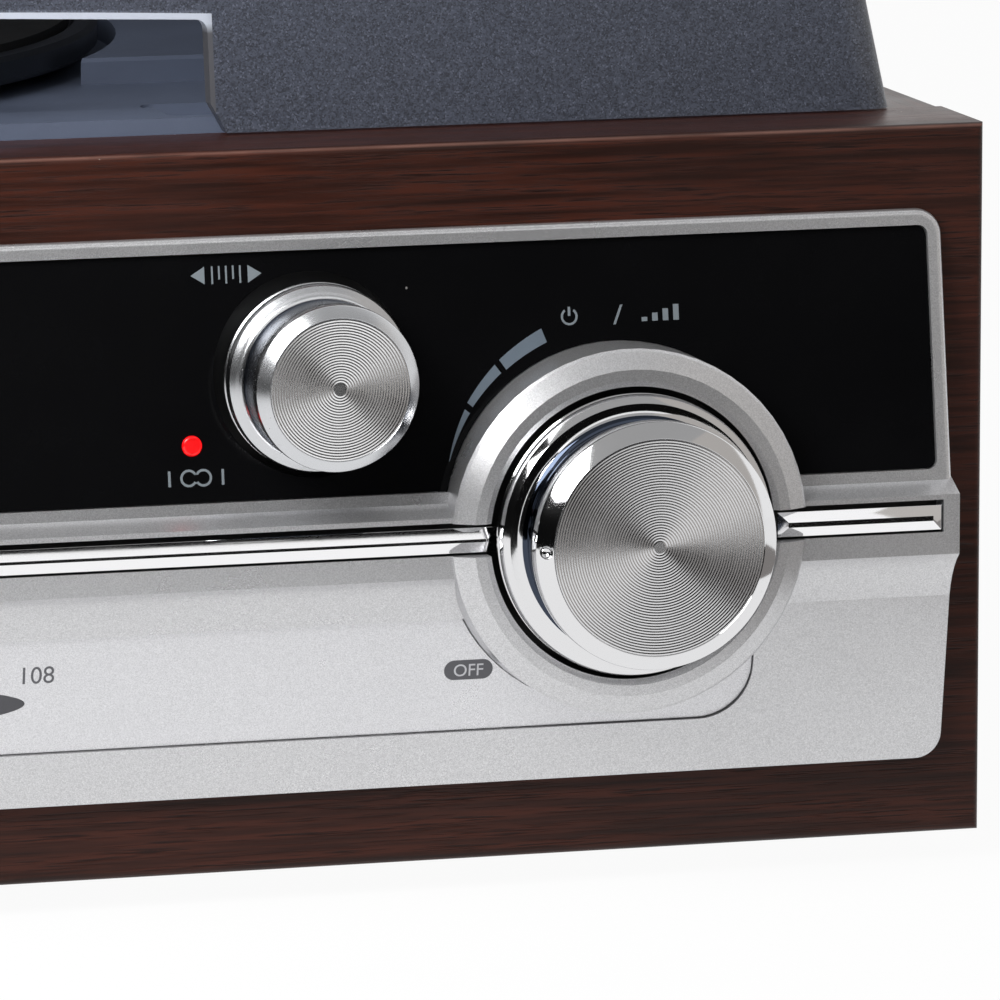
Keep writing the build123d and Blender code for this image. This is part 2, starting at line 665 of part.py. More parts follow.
def fascia_hollow():
    """The space behind the fascia's skin, in (depth, height)."""
    low = FASCIA_BOTTOM + FASCIA_LAP
    belt = REACH_BELT - BAR_RECESS_DEEP - FASCIA_WALL
    flare = REACH_FLARE - FASCIA_WALL
    plate = PLATE_SINK + PLATE_THICKNESS
    return make_face(Polyline(
        (1, BASE + low), (-max(reach_at(low) - FASCIA_WALL - plate, 0), BASE + low),
        (-(flare - plate), BASE + FLARE_END), (-belt, BASE + BELT_BOTTOM), (-belt, BASE + BELT_TOP),
        (-(REACH_BREAK - FASCIA_WALL - WINDOW_THICKNESS), BASE + BREAK_HEIGHT + WINDOW_FOOT),
        (1, BASE + FASCIA_TOP - FASCIA_LAP - WINDOW_LEDGE), close=True))


def upper_panel(rim, deep, out):
    """A slab on the leaning frame, rim inside the fascia's edge, from deep in to out proud."""
    low = on_upper(BREAK_HEIGHT + WINDOW_FOOT + rim - WINDOW_RIM)
    high = on_upper(FASCIA_TOP - rim)
    outline = Pos(0, (low + high) / 2) * RectangleRounded(2 * (FASCIA_HALF - rim), high - low,
                                                          WINDOW_CORNER)
    return extrude((UPPER_FACE.offset(-deep)) * outline, amount=deep + out)


def lower_panel(margin, deep, out):
    """A rounded slab on the lower panel where the dial plate lies."""
    scale = 1 / cos(atan2(REACH_FLARE - REACH_BOTTOM, FLARE_END - FASCIA_BOTTOM))
    low = (PLATE_BOTTOM - FASCIA_BOTTOM) * scale - margin
    high = (PLATE_TOP - FASCIA_BOTTOM) * scale + margin
    width = 2 * (FASCIA_HALF - PLATE_END + margin)
    outline = Pos(0, (low + high) / 2) * RectangleRounded(width, high - low, PLATE_CORNER + margin)
    return extrude(LOWER_FACE.offset(-deep) * outline, amount=deep + out)


def lens_slab(margin, deep, out):
    """The pointer window's shape on the lower panel."""
    scale = 1 / cos(atan2(REACH_FLARE - REACH_BOTTOM, FLARE_END - FASCIA_BOTTOM))
    middle = Pos(0, (LENS_CENTRE - FASCIA_BOTTOM) * scale)
    outline = middle * Ellipse(LENS_LENGTH / 2 + margin, LENS_HEIGHT / 2 + margin)
    return extrude(LOWER_FACE.offset(-deep) * outline, amount=deep + out)


def boss():
    """The raised ring round a big knob, solid to the axis."""
    shoulder = BOSS_REACH - BOSS_SHOULDER
    inner = -BOSS_REACH + BOSS_LIP
    return turned([(0, 0), (BOSS_RADIUS, 0), (BOSS_RADIUS, -shoulder + BOSS_EDGE),
                   (BOSS_RADIUS - BOSS_EDGE, -shoulder),
                   (BOSS_CREASE_RADIUS, -BOSS_REACH + BOSS_CREASE), (BOSS_LIP_RADIUS, -BOSS_REACH),
                   (WELL_RADIUS, inner), (0, inner)], BIG_KNOB_X, BIG_KNOB_Z)


def small_cup():
    """The dark cup behind the window that a small knob sits in, solid to the axis."""
    return rod(SMALL_WELL_RADIUS + CUP_WALL, SMALL_KNOB_X, -REACH_BREAK, CUP_FLOOR + CUP_WALL,
               SMALL_KNOB_Z)


def fascia_rim(fascia):
    """The outer edges of the leaning upper frame."""
    top = fascia.edges().group_by(Axis.Z)[-1].sort_by(Axis.Y)[0]
    return [top]


def front_fascia():
    fascia = across(fascia_outline(), FASCIA_HALF)
    fascia = fillet(fascia.edges().filter_by(Axis.Y), FASCIA_CORNER)
    fascia = fillet(fascia_rim(fascia), RIM_ROUND)
    hollow_half = FASCIA_HALF - FASCIA_LAP - END_BLOCK
    fascia -= across(fascia_hollow(), hollow_half)
    through = WINDOW_RIM + WINDOW_LEDGE
    fascia -= upper_panel(through, REACH_BREAK * 2, 1)
    fascia -= lower_panel(0, PLATE_SINK + PLATE_THICKNESS, 5)
    fascia -= lens_slab(-LENS_LEDGE, REACH_BREAK, 5)
    deep = WINDOW_SINK + WINDOW_THICKNESS
    for side in (1, -1):
        cup = small_cup() if side > 0 else mirrored(small_cup())
        fascia += cup
    fascia -= upper_panel(WINDOW_RIM, deep, REACH_BELT)
    for side in (1, -1):
        ring = boss() if side > 0 else mirrored(boss())
        fascia += ring
    for side in (1, -1):
        x = side * BIG_KNOB_X
        fascia -= rod(WELL_RADIUS, x, -BOSS_REACH - 1, -WELL_FLOOR_REACH, BIG_KNOB_Z)
        fascia -= rod(HUB_RADIUS, x, -BOSS_REACH, 1, BIG_KNOB_Z)
        x = side * SMALL_KNOB_X
        fascia -= rod(SMALL_WELL_RADIUS, x, -REACH_BELT, CUP_FLOOR, SMALL_KNOB_Z)
        fascia -= rod(HUB_RADIUS, x, 0, CUP_FLOOR + CUP_WALL + 1, SMALL_KNOB_Z)
    well = WELL_RADIUS - WELL_OVERLAP
    for left, right in bar_stretches(well, well, 0):
        fascia -= block(left, right, -BOSS_REACH - 1, -(REACH_BELT - BAR_RECESS_DEEP),
                        BASE + BAR_RECESS_BOTTOM, BASE + BAR_RECESS_TOP)
    fascia -= rod(LED_RADIUS, HALF_WIDTH - LED_OFFSET, -BOSS_REACH, 5, BASE + LED_HEIGHT)
    return fascia


def bar_stretches(middle, beside, gap):
    """Ends of the three lengths along the belt.

    The middle one stops middle from the big knobs' axes, the outer ones beside from them and
    gap inside the recess's ends.
    """
    outer = FASCIA_HALF - BAR_END_MARGIN - gap
    return [(-outer, -BIG_KNOB_X - beside), (-BIG_KNOB_X + middle, BIG_KNOB_X - middle),
            (BIG_KNOB_X + beside, outer)]


def belt_bars():
    low = BASE + BAR_RECESS_BOTTOM + BAR_GAP
    high = BASE + BAR_RECESS_TOP - BAR_SHADOW
    floor = -(REACH_BELT - BAR_RECESS_DEEP)
    face = -(REACH_BELT + BAR_PROUD)
    bars = []
    for left, right in bar_stretches(WELL_RADIUS - BAR_OVERHANG, WELL_RADIUS + BAR_SHORTFALL, SEAT):
        bar = block(left, right, face, floor, low, high)
        front = bar.faces().sort_by(Axis.Y)[0]
        facet = MIDDLE_BAR_CHAMFER if left < 0 < right else BAR_CHAMFER
        bars.append(chamfer(front.edges(), facet))
    return Compound(children=bars)


def display_window():
    window = upper_panel(WINDOW_RIM + WINDOW_PLAY, WINDOW_SINK + WINDOW_THICKNESS, -WINDOW_SINK)
    for side in (1, -1):
        window -= rod(BOSS_RADIUS + WINDOW_PLAY, side * BIG_KNOB_X, -BOSS_REACH, 5, BIG_KNOB_Z)
        window -= rod(SMALL_WELL_RADIUS, side * SMALL_KNOB_X, -BOSS_REACH, 5, SMALL_KNOB_Z)
    window -= rod(LED_RADIUS, HALF_WIDTH - LED_OFFSET, -BOSS_REACH, 5, BASE + LED_HEIGHT)
    return window


def dial_plate():
    plate = lower_panel(-WINDOW_PLAY, PLATE_SINK + PLATE_THICKNESS, -PLATE_SINK)
    plate -= lens_slab(0, REACH_BREAK, 5)
    for side in (1, -1):
        plate -= rod(BOSS_RADIUS + WINDOW_PLAY, side * BIG_KNOB_X, -BOSS_REACH, 5, BIG_KNOB_Z)
    return plate


def dial_lens():
    return lens_slab(-WINDOW_PLAY / 2, PLATE_SINK + PLATE_THICKNESS, -PLATE_SINK)


def stereo_led():
    reach = reach_at(LED_HEIGHT) - WINDOW_SINK
    led = rod(LED_RADIUS, HALF_WIDTH - LED_OFFSET, -reach - LED_PROUD, LED_BACK, BASE + LED_HEIGHT)
    return fillet(led.faces().sort_by(Axis.Y)[0].edges(), LED_ROUND)


# ---------------------------------------------------------------- knobs and controls
def knob(x, z, disc, rim, neck, skirt, reach, rim_reach, skirt_reach, floor):
    """A chromed knob with a skirt, hollow behind, and a pocket for its spun disc."""
    bevel_back = rim_reach - RIM_LAND
    inner = neck - KNOB_WALL
    foot = floor + MOVING
    return turned([
        (disc, -reach), (rim, -rim_reach), (rim, -bevel_back), (neck, -bevel_back + 0.3),
        (neck, -skirt_reach - SKIRT_COVE), (skirt - 1.2, -skirt_reach), (skirt, -skirt_reach + 1.0),
        (skirt, -skirt_reach + 1.8), (skirt - SKIRT_GROOVE, -skirt_reach + 2.1),
        (skirt - SKIRT_GROOVE, -skirt_reach + 2.7), (skirt, -skirt_reach + 3.0),
        (skirt, -skirt_reach + SKIRT_THICKNESS), (neck, -skirt_reach + SKIRT_THICKNESS),
        (neck, -foot), (inner, -foot), (inner, -reach + DISC_THICKNESS + KNOB_WALL),
        (HUB_RADIUS - SEAT, -reach + DISC_THICKNESS + KNOB_WALL), (HUB_RADIUS - SEAT, -foot),
        (SHAFT_RADIUS, -foot), (SHAFT_RADIUS, -reach + SHAFT_STOP), (0, -reach + SHAFT_STOP),
        (0, -reach + DISC_THICKNESS), (disc, -reach + DISC_THICKNESS)], x, z)


def knob_disc(x, z, disc, reach):
    """The spun metal face that is pressed into a knob."""
    return rod(disc, x, -reach, -reach + DISC_THICKNESS, z)


def knob_shaft(x, z, reach):
    """A control's shaft, from inside the knob to inside the control."""
    back = BRACKET_DEPTH + BRACKET_THICKNESS + SHAFT_INSIDE
    return rod(SHAFT_RADIUS, x, -reach + SHAFT_STOP, back, z)


def big_knob():
    body = knob(BIG_KNOB_X, BIG_KNOB_Z, BIG_DISC_RADIUS, BIG_RIM_RADIUS, BIG_NECK_RADIUS,
                BIG_SKIRT_RADIUS, BIG_REACH, BIG_RIM_REACH, BIG_SKIRT_REACH, WELL_FLOOR_REACH)
    middle = (BIG_DISC_RADIUS + BIG_RIM_RADIUS) / 2
    reach = (BIG_REACH + BIG_RIM_REACH) / 2
    return body - place(BIG_KNOB_X - middle, -reach - DIMPLE_SINK, BIG_KNOB_Z) * Sphere(POINTER_DIMPLE)


def big_disc():
    return knob_disc(BIG_KNOB_X, BIG_KNOB_Z, BIG_DISC_RADIUS, BIG_REACH)


def big_shaft():
    return knob_shaft(BIG_KNOB_X, BIG_KNOB_Z, BIG_REACH)


def small_knob():
    return knob(SMALL_KNOB_X, SMALL_KNOB_Z, SMALL_DISC_RADIUS, SMALL_RIM_RADIUS, SMALL_NECK_RADIUS,
                SMALL_SKIRT_RADIUS, SMALL_REACH, SMALL_RIM_REACH, SMALL_SKIRT_REACH, -CUP_FLOOR)


def small_disc():
    return knob_disc(SMALL_KNOB_X, SMALL_KNOB_Z, SMALL_DISC_RADIUS, SMALL_REACH)


def small_shaft():
    return knob_shaft(SMALL_KNOB_X, SMALL_KNOB_Z, SMALL_REACH)


def tuning_shaft():
    """The tuning shaft reaches past its bush to the spool that the dial cord goes round."""
    front = -SMALL_REACH + SHAFT_STOP
    back = CORD_DEPTH + DRUM_WIDTH / 2
    shaft = rod(SHAFT_RADIUS, SMALL_KNOB_X, front, back, SMALL_KNOB_Z)
    flange = back - SPOOL_FLANGE
    return shaft + rod(SHAFT_RADIUS + SPOOL_FLANGE, SMALL_KNOB_X, flange, back, SMALL_KNOB_Z)


def control(x, z, radius, length):
    """A rotary control: body behind the bracket, threaded bush and nut in front, bored."""
    back = BRACKET_DEPTH + BRACKET_THICKNESS
    body = rod(radius, x, back, back + length, z)
    body += rod(BUSH_RADIUS, x, BRACKET_DEPTH - BUSH_LENGTH, back, z)
    body += rod(NUT_RADIUS, x, BRACKET_DEPTH - NUT_THICKNESS, BRACKET_DEPTH, z)
    body += block(x - radius / 2, x + radius / 2, back, back + LUG_THICKNESS,
                  z - radius - LUG_LENGTH, z)
    return body - rod(SHAFT_RADIUS + RUNNING, x, BRACKET_DEPTH - BUSH_LENGTH - 1,
                      back + SHAFT_INSIDE + SEAT, z)


def rotary_pots():
    volume = control(BIG_KNOB_X, BIG_KNOB_Z, POT_RADIUS, POT_LENGTH)
    tone = control(-SMALL_KNOB_X, SMALL_KNOB_Z, POT_RADIUS, POT_LENGTH)
    return Compound(children=[volume, tone])


def function_switch():
    return control(-BIG_KNOB_X, BIG_KNOB_Z, SWITCH_RADIUS, SWITCH_LENGTH)


def control_bracket():
    """The steel plate behind the fascia, with the tuning bush and the cord's guide posts."""
    back = BRACKET_DEPTH + BRACKET_THICKNESS
    plate = block(-BRACKET_HALF_WIDTH, BRACKET_HALF_WIDTH, BRACKET_DEPTH, back,
                  BASE + BRACKET_BOTTOM, BASE + BRACKET_TOP)
    middle = FASCIA_HALF - FASCIA_LAP - END_BLOCK / 2
    for x in (-middle, middle):
        for height in BRACKET_POST_HEIGHTS:
            plate += rod(BRACKET_POST_RADIUS, x, 0, BRACKET_DEPTH, BASE + height)
    for x, z in ((BIG_KNOB_X, BIG_KNOB_Z), (-BIG_KNOB_X, BIG_KNOB_Z), (-SMALL_KNOB_X, SMALL_KNOB_Z)):
        plate -= rod(BUSH_RADIUS, x, BRACKET_DEPTH, back, z)
    plate += rod(BUSH_RADIUS, SMALL_KNOB_X, BRACKET_DEPTH - BUSH_LENGTH, back, SMALL_KNOB_Z)
    plate -= rod(SHAFT_RADIUS + RUNNING, SMALL_KNOB_X, 0, back + 1, SMALL_KNOB_Z)
    plate -= rod(SHAFT_RADIUS + SEAT, 0, BRACKET_DEPTH, back, BASE + DRUM_HEIGHT)
    for side in (-1, 1):
        x = side * IDLER_SPACING / 2
        plate += rod(IDLER_RADIUS, x, back, CORD_DEPTH + DRUM_WIDTH / 2, BASE + IDLER_HEIGHT)
    return plate


def cord_line(extra):
    """The dial cord's loop in (x, z), drawn extra outside the surfaces that it runs round."""
    rounds = [(0, BASE + DRUM_HEIGHT, DRUM_RADIUS), (SMALL_KNOB_X, SMALL_KNOB_Z, SHAFT_RADIUS),
              (IDLER_SPACING / 2, BASE + IDLER_HEIGHT, IDLER_RADIUS),
              (-IDLER_SPACING / 2, BASE + IDLER_HEIGHT, IDLER_RADIUS)]
    edges = [Pos(x, z) * Circle(radius + extra).edge() for x, z, radius in rounds]
    return make_hull(edges)


def loop_between(line, inner, outer, front, back):
    """A flat band between two outlines drawn in (x, z), from one depth to another."""
    upright = Plane(origin=(0, FRONT_Y + back, 0), x_dir=(1, 0, 0), z_dir=(0, -1, 0))
    return extrude(upright * (line(outer) - line(inner)), amount=back - front)


def dial_cord():
    inner = BELT_GAP
    outer = BELT_GAP + 2 * CORD_RADIUS
    return loop_between(cord_line, inner, outer, CORD_DEPTH - CORD_RADIUS, CORD_DEPTH + CORD_RADIUS)


def dial_drum():
    """The drum on the tuning capacitor's spindle, with a groove for the cord."""
    front = CORD_DEPTH - DRUM_WIDTH / 2
    back = CORD_DEPTH + DRUM_WIDTH / 2
    groove = 2 * CORD_RADIUS
    rim = DRUM_RADIUS + DRUM_FLANGE
    drum = turned([
        (0, front), (HUB_RADIUS, front), (HUB_RADIUS, front + DRUM_WEB),
        (DRUM_RADIUS - DRUM_RIM, front + DRUM_WEB), (DRUM_RADIUS - DRUM_RIM, front), (rim, front),
        (rim, CORD_DEPTH - groove), (DRUM_RADIUS, CORD_DEPTH - groove),
        (DRUM_RADIUS, CORD_DEPTH + groove), (rim, CORD_DEPTH + groove), (rim, back),
        (DRUM_RADIUS - DRUM_RIM, back), (DRUM_RADIUS - DRUM_RIM, back - DRUM_WEB + 1),
        (HUB_RADIUS, back - DRUM_WEB + 1), (HUB_RADIUS, back), (SHAFT_RADIUS, back),
        (SHAFT_RADIUS, back + CAPACITOR_GAP + SHAFT_INSIDE), (0, back + CAPACITOR_GAP + SHAFT_INSIDE)],
        0, BASE + DRUM_HEIGHT)
    stub = rod(SHAFT_RADIUS, 0, BRACKET_DEPTH, front, BASE + DRUM_HEIGHT)
    return drum + stub


def tuning_capacitor():
    """The capacitor's case, carried by two legs on the bracket."""
    front = CORD_DEPTH + DRUM_WIDTH / 2 + CAPACITOR_GAP
    z = BASE + DRUM_HEIGHT
    half = CAPACITOR_SIDE / 2
    case = block(-half, half, front, front + CAPACITOR_LENGTH, z - half, z + half)
    leg = DRUM_RADIUS + DRUM_FLANGE + LEG_CLEARANCE
    low = BASE + BRACKET_BOTTOM
    for side in (-1, 1):
        x = side * leg
        case += block(min(x, 0), max(x, 0), front, front + LEG_THICKNESS, z - LEG_WIDTH / 2,
                      z + LEG_WIDTH / 2)
        case += block(x - LEG_THICKNESS / 2, x + LEG_THICKNESS / 2, BRACKET_DEPTH + BRACKET_THICKNESS,
                      front + LEG_THICKNESS, z - LEG_WIDTH / 2, z + LEG_WIDTH / 2)
    return case - rod(SHAFT_RADIUS + RUNNING, 0, front - 1, front + SHAFT_INSIDE + SEAT, z)


def dial_pointer():
    """The needle and its carriage, which slides along the bracket's top edge."""
    edge = BASE + BRACKET_TOP + SEAT
    half = CARRIAGE_WIDTH / 2
    back = CORD_DEPTH + CORD_CLIP
    roof = block(-half, half, NEEDLE_DEPTH, back, edge, edge + CARRIAGE_ROOF)
    cord_top = BASE + IDLER_HEIGHT + IDLER_RADIUS + BELT_GAP + 2 * CORD_RADIUS
    clip = block(-half / 2, half / 2, CORD_DEPTH - CORD_CLIP, back, cord_top + SEAT, edge)
    half_needle = NEEDLE_WIDTH / 2
    knee = BASE + FLARE_END + NEEDLE_KNEE
    upper = block(-half_needle, half_needle, NEEDLE_DEPTH, NEEDLE_DEPTH + NEEDLE_WIDTH, knee, edge)
    step = block(-half_needle, half_needle, -NEEDLE_FRONT, NEEDLE_DEPTH + NEEDLE_WIDTH, knee,
                 knee + NEEDLE_WIDTH)
    lower = block(-half_needle, half_needle, -NEEDLE_FRONT, -NEEDLE_FRONT + NEEDLE_WIDTH / 2,
                  BASE + NEEDLE_BOTTOM, knee)
    return roof + clip + upper + step + lower


# ---------------------------------------------------------------- record deck
def turntable_deck():
    half = INNER_HALF - SEAT
    raised_half = HALF_WIDTH - COVER_MARGIN - COVER_WALL - RAISED_GAP
    deck = block(-half, half, DECK_FRONT, REAR_FACE, TOP - DECK_SLAB, TOP)
    raised = block(-raised_half, raised_half, DECK_FRONT, DECK_BACK, TOP - DECK_SLAB, DECK_TOP)
    deck += fillet(raised.edges().filter_by(Axis.Z), DECK_CORNER)
    floor_half = raised_half - DECK_RIM
    platform_back = DECK_BACK - DECK_RIM
    deck -= block(-floor_half, floor_half, DECK_FRONT + DECK_BAND, platform_back, DECK_FLOOR, TOP * 2)
    platform = block(-floor_half, floor_half, PLATFORM_FRONT, platform_back, DECK_FLOOR, PLATFORM_TOP)
    deck += chamfer(platform.faces().sort_by(Axis.Z)[-1].edges(), PLATFORM_EDGE)
    deck -= post(PLATTER_RADIUS + PLATTER_ROOM, 0, PLATTER_DEPTH, DECK_FLOOR, TOP * 2)
    skirt = INNER_HALF - BATTEN - PLATFORM_SKIN
    hollow = block(-skirt, skirt, PLATFORM_FRONT + PLATFORM_SKIN, platform_back - PLATFORM_SKIN,
                   TOP - DECK_SLAB, PLATFORM_TOP - PLATFORM_SKIN)
    deck -= hollow - post(PLATTER_RADIUS + PLATTER_ROOM + PLATFORM_SKIN, 0, PLATTER_DEPTH,
                          TOP - DECK_SLAB, TOP * 2)
    deck += post(WELL_RADIUS_DECK + WELL_WALL, 0, PLATTER_DEPTH, WELL_FLOOR - WELL_WALL, TOP)
    deck -= post(WELL_RADIUS_DECK, 0, PLATTER_DEPTH, WELL_FLOOR, TOP * 2)
    deck += post(BEARING_RADIUS, 0, PLATTER_DEPTH, WELL_FLOOR - BEARING_LENGTH, WELL_FLOOR)
    deck -= post(SPINDLE_BEARING, 0, PLATTER_DEPTH, WELL_FLOOR - BEARING_LENGTH, WELL_FLOOR)
    deck -= post(MOTOR_HOLE, PULLEY_X, PULLEY_DEPTH, WELL_FLOOR - WELL_WALL, WELL_FLOOR)
    slot_floor = DECK_TOP - SPEED_SLOT_DEEP
    recess = block(SPEED_SLOT_LEFT, SPEED_SLOT_RIGHT, SPEED_SLOT_FRONT, SPEED_SLOT_BACK, slot_floor,
                   DECK_TOP + 1)
    deck -= fillet(recess.edges().filter_by(Axis.Z), SPEED_SLOT_CORNER)
    deck -= speed_window()
    return deck


def speed_window():
    """The long slot in the recess that the speed selector's stem slides in."""
    middle = (SPEED_SLOT_LEFT + SPEED_SLOT_RIGHT) / 2
    half = SPEED_TRAVEL + SPEED_STEM / 2 + SEAT
    depth = (SPEED_SLOT_FRONT + SPEED_SLOT_BACK) / 2
    wide = SPEED_STEM / 2 + RUNNING
    return block(middle - half, middle + half, depth - wide, depth + wide, TOP - DECK_SLAB, DECK_TOP)


def speed_selector():
    middle = (SPEED_SLOT_LEFT + SPEED_SLOT_RIGHT) / 2
    depth = (SPEED_SLOT_FRONT + SPEED_SLOT_BACK) / 2
    floor = DECK_TOP - SPEED_SLOT_DEEP + SEAT / 3
    half = SPEED_STEM / 2
    stem = block(middle - half, middle + half, depth - half, depth + half,
                 TOP - DECK_SLAB - SPEED_TAIL, floor + 1)
    cap = block(middle - SPEED_CAP / 2, middle + SPEED_CAP / 2, depth - SPEED_CAP / 2,
                depth + SPEED_CAP / 2, floor, floor + SPEED_CAP_HEIGHT)
    cap = chamfer(cap.faces().sort_by(Axis.Z)[-1].edges(), 1.0)
    keeper = block(middle - SPEED_CAP / 2, middle + SPEED_CAP / 2, depth - SPEED_CAP / 2,
                   depth + SPEED_CAP / 2, TOP - DECK_SLAB - SPEED_TAIL,
                   TOP - DECK_SLAB - SEAT / 3)
    return stem + cap + keeper


def spindle():
    """The fixed steel spindle with the collar that the platter turns on."""
    top = MAT_TOP + SPINDLE_ABOVE
    collar = WELL_FLOOR + COLLAR_HEIGHT
    shoulder = MAT_TOP - SEAT
    return turned_upright([
        (0, WELL_FLOOR - BEARING_LENGTH), (SPINDLE_BEARING, WELL_FLOOR - BEARING_LENGTH),
        (SPINDLE_BEARING, WELL_FLOOR), (COLLAR_RADIUS, WELL_FLOOR), (COLLAR_RADIUS, collar),
        (SPINDLE_BEARING, collar), (SPINDLE_BEARING, shoulder), (SPINDLE_RADIUS, shoulder),
        (SPINDLE_RADIUS, top - SPINDLE_TAPER), (SPINDLE_RADIUS / 3, top), (0, top)],
        0, PLATTER_DEPTH)


def platter():
    hub_bottom = WELL_FLOOR + COLLAR_HEIGHT
    bed = PLATTER_TOP - MAT_SINK
    web = bed - PLATTER_WEB
    drive = web - DRIVE_DROP
    bore = SPINDLE_BEARING + RUNNING
    rim = PLATTER_RADIUS - PLATTER_EDGE
    return turned_upright([
        (bore, hub_bottom), (BEARING_RADIUS, hub_bottom), (BEARING_RADIUS, web),
        (DRIVE_RADIUS - DRIVE_RIM, web), (DRIVE_RADIUS - DRIVE_RIM, drive), (DRIVE_RADIUS, drive),
        (DRIVE_RADIUS, web), (rim - RIM_SLOPE, web), (rim, PLATTER_BOTTOM),
        (PLATTER_RADIUS - RIM_CHAMFER, PLATTER_BOTTOM), (PLATTER_RADIUS, PLATTER_BOTTOM + RIM_CHAMFER),
        (PLATTER_RADIUS, PLATTER_TOP - RIM_CHAMFER), (PLATTER_RADIUS - RIM_CHAMFER, PLATTER_TOP),
        (rim, PLATTER_TOP), (rim - MAT_SINK, bed), (bore, bed)], 0, PLATTER_DEPTH)


def slip_mat():
    bed = PLATTER_TOP - MAT_SINK
    radius = PLATTER_RADIUS - PLATTER_EDGE - MAT_SINK - SEAT
    mat = post(radius, 0, PLATTER_DEPTH, bed, MAT_TOP)
    for ring in MAT_RINGS:
        groove = post(radius * ring + MAT_GROOVE, 0, PLATTER_DEPTH, MAT_TOP - MAT_GROOVE, MAT_TOP)
        mat -= groove - post(radius * ring, 0, PLATTER_DEPTH, MAT_TOP - MAT_GROOVE, MAT_TOP)
    mat -= post(MAT_LABEL_RADIUS, 0, PLATTER_DEPTH, MAT_TOP - MAT_GROOVE, MAT_TOP)
    return mat - post(SPINDLE_BEARING + SEAT, 0, PLATTER_DEPTH, bed, MAT_TOP)


def motor():
    """The motor hangs under the well on its mounting plate."""
    top = WELL_FLOOR - WELL_WALL
    can = post(MOTOR_RADIUS, PULLEY_X, PULLEY_DEPTH, top - MOTOR_PLATE - MOTOR_HEIGHT, top - MOTOR_PLATE)
    can = fillet(can.edges(), 1.5)
    plate = place(PULLEY_X, PULLEY_DEPTH, top - MOTOR_PLATE / 2) * Box(
        MOTOR_EAR * 2, MOTOR_RADIUS * 1.2, MOTOR_PLATE)
    body = can + plate
    return body - post(MOTOR_SHAFT_RADIUS + RUNNING, PULLEY_X, PULLEY_DEPTH,
                       top - MOTOR_PLATE - MOTOR_BORE, top)


def motor_pulley():
    """The brass pulley with the motor's shaft in it."""
    top = PULLEY_BOTTOM + PULLEY_HEIGHT
    flange = PULLEY_RADIUS + BELT_THICKNESS + BELT_GAP
    tip = WELL_FLOOR - WELL_WALL - MOTOR_PLATE - MOTOR_BORE + SEAT
    return turned_upright([
        (0, tip), (MOTOR_SHAFT_RADIUS, tip), (MOTOR_SHAFT_RADIUS, PULLEY_BOTTOM),
        (flange, PULLEY_BOTTOM), (PULLEY_RADIUS, BELT_FOOT - SEAT),
        (PULLEY_RADIUS, BELT_FOOT + BELT_WIDTH + SEAT), (flange, top), (0, top)],
        PULLEY_X, PULLEY_DEPTH)


def belt_line(extra):
    """The drive belt's loop in plan, drawn extra outside the surfaces that it runs round."""
    platter_round = Pos(0, PLATTER_DEPTH) * Circle(DRIVE_RADIUS + extra)
    pulley_round = Pos(PULLEY_X, PULLEY_DEPTH) * Circle(PULLEY_RADIUS + extra)
    return make_hull([platter_round.edge(), pulley_round.edge()])


def drive_belt():
    band = belt_line(BELT_GAP + BELT_THICKNESS) - belt_line(BELT_GAP)
    return Pos(0, FRONT_Y, BELT_FOOT) * extrude(band, amount=BELT_WIDTH)


# ---------------------------------------------------------------- tonearm
ARM_PLACE = place(ARM_PIVOT_X, ARM_PIVOT_DEPTH, 0) * Rot(0, 0, ARM_REST_ANGLE)


def arm_block(left, right, ahead, behind, low, high):
    """A box in the parked arm's own directions; ahead and behind are distances from the pivot."""
    centre = Pos((left + right) / 2, (behind - ahead) / 2, (low + high) / 2)
    return ARM_PLACE * centre * Box(right - left, ahead + behind, high - low)


def arm_rod(radius, ahead, behind):
    """A cylinder along the parked arm at its own height."""
    centre = Pos(0, (behind - ahead) / 2, ARM_AXIS_Z)
    return ARM_PLACE * centre * Rot(90, 0, 0) * Cylinder(radius, ahead + behind)


def cross_rod(radius, left, right, ahead, z):
    """A cylinder across the parked arm."""
    return ARM_PLACE * Pos((left + right) / 2, -ahead, z) * Rot(0, 90, 0) * Cylinder(radius, right - left)


def tonearm_tube():
    """The tube with its headshell, finger lift, pivot block and axle."""
    half = ARM_BLOCK / 2
    shell_back = ARM_REACH - HEADSHELL_LENGTH + HEADSHELL_NOSE
    tube = arm_rod(ARM_TUBE_RADIUS, shell_back + 1, ARM_TAIL)
    tube += arm_block(-half, half, half, half, ARM_AXIS_Z - half, ARM_AXIS_Z + half)
    tube += cross_rod(ARM_AXLE_RADIUS, -half - ARM_EAR, half + ARM_EAR, 0, ARM_AXIS_Z)
    plate = HEADSHELL_THICKNESS / 2
    shell = arm_block(-HEADSHELL_WIDTH / 2, HEADSHELL_WIDTH / 2, ARM_REACH + HEADSHELL_NOSE,
                      -shell_back, ARM_AXIS_Z - plate, ARM_AXIS_Z + plate)
    shell = fillet(shell.edges().filter_by(Axis.Z), HEADSHELL_CORNER)
    lift = arm_block(0, HEADSHELL_WIDTH / 2 + FINGER_REACH, ARM_REACH - FINGER_WIDTH,
                     -ARM_REACH + 2 * FINGER_WIDTH, ARM_AXIS_Z - plate / 2, ARM_AXIS_Z + plate / 2)
    return tube + shell + lift


def cartridge():
    """The cartridge under the headshell, with its stylus."""
    top = ARM_AXIS_Z - HEADSHELL_THICKNESS / 2
    bottom = top - CARTRIDGE_HEIGHT
    body = arm_block(-CARTRIDGE_WIDTH / 2, CARTRIDGE_WIDTH / 2, ARM_REACH + STYLUS_AHEAD,
                     CARTRIDGE_LENGTH - ARM_REACH - STYLUS_AHEAD, bottom, top)
    cone = Cone(STYLUS_TIP_RADIUS, STYLUS_ROOT_RADIUS, STYLUS_LENGTH)
    return body + ARM_PLACE * Pos(0, -ARM_REACH, bottom - STYLUS_LENGTH / 2) * cone


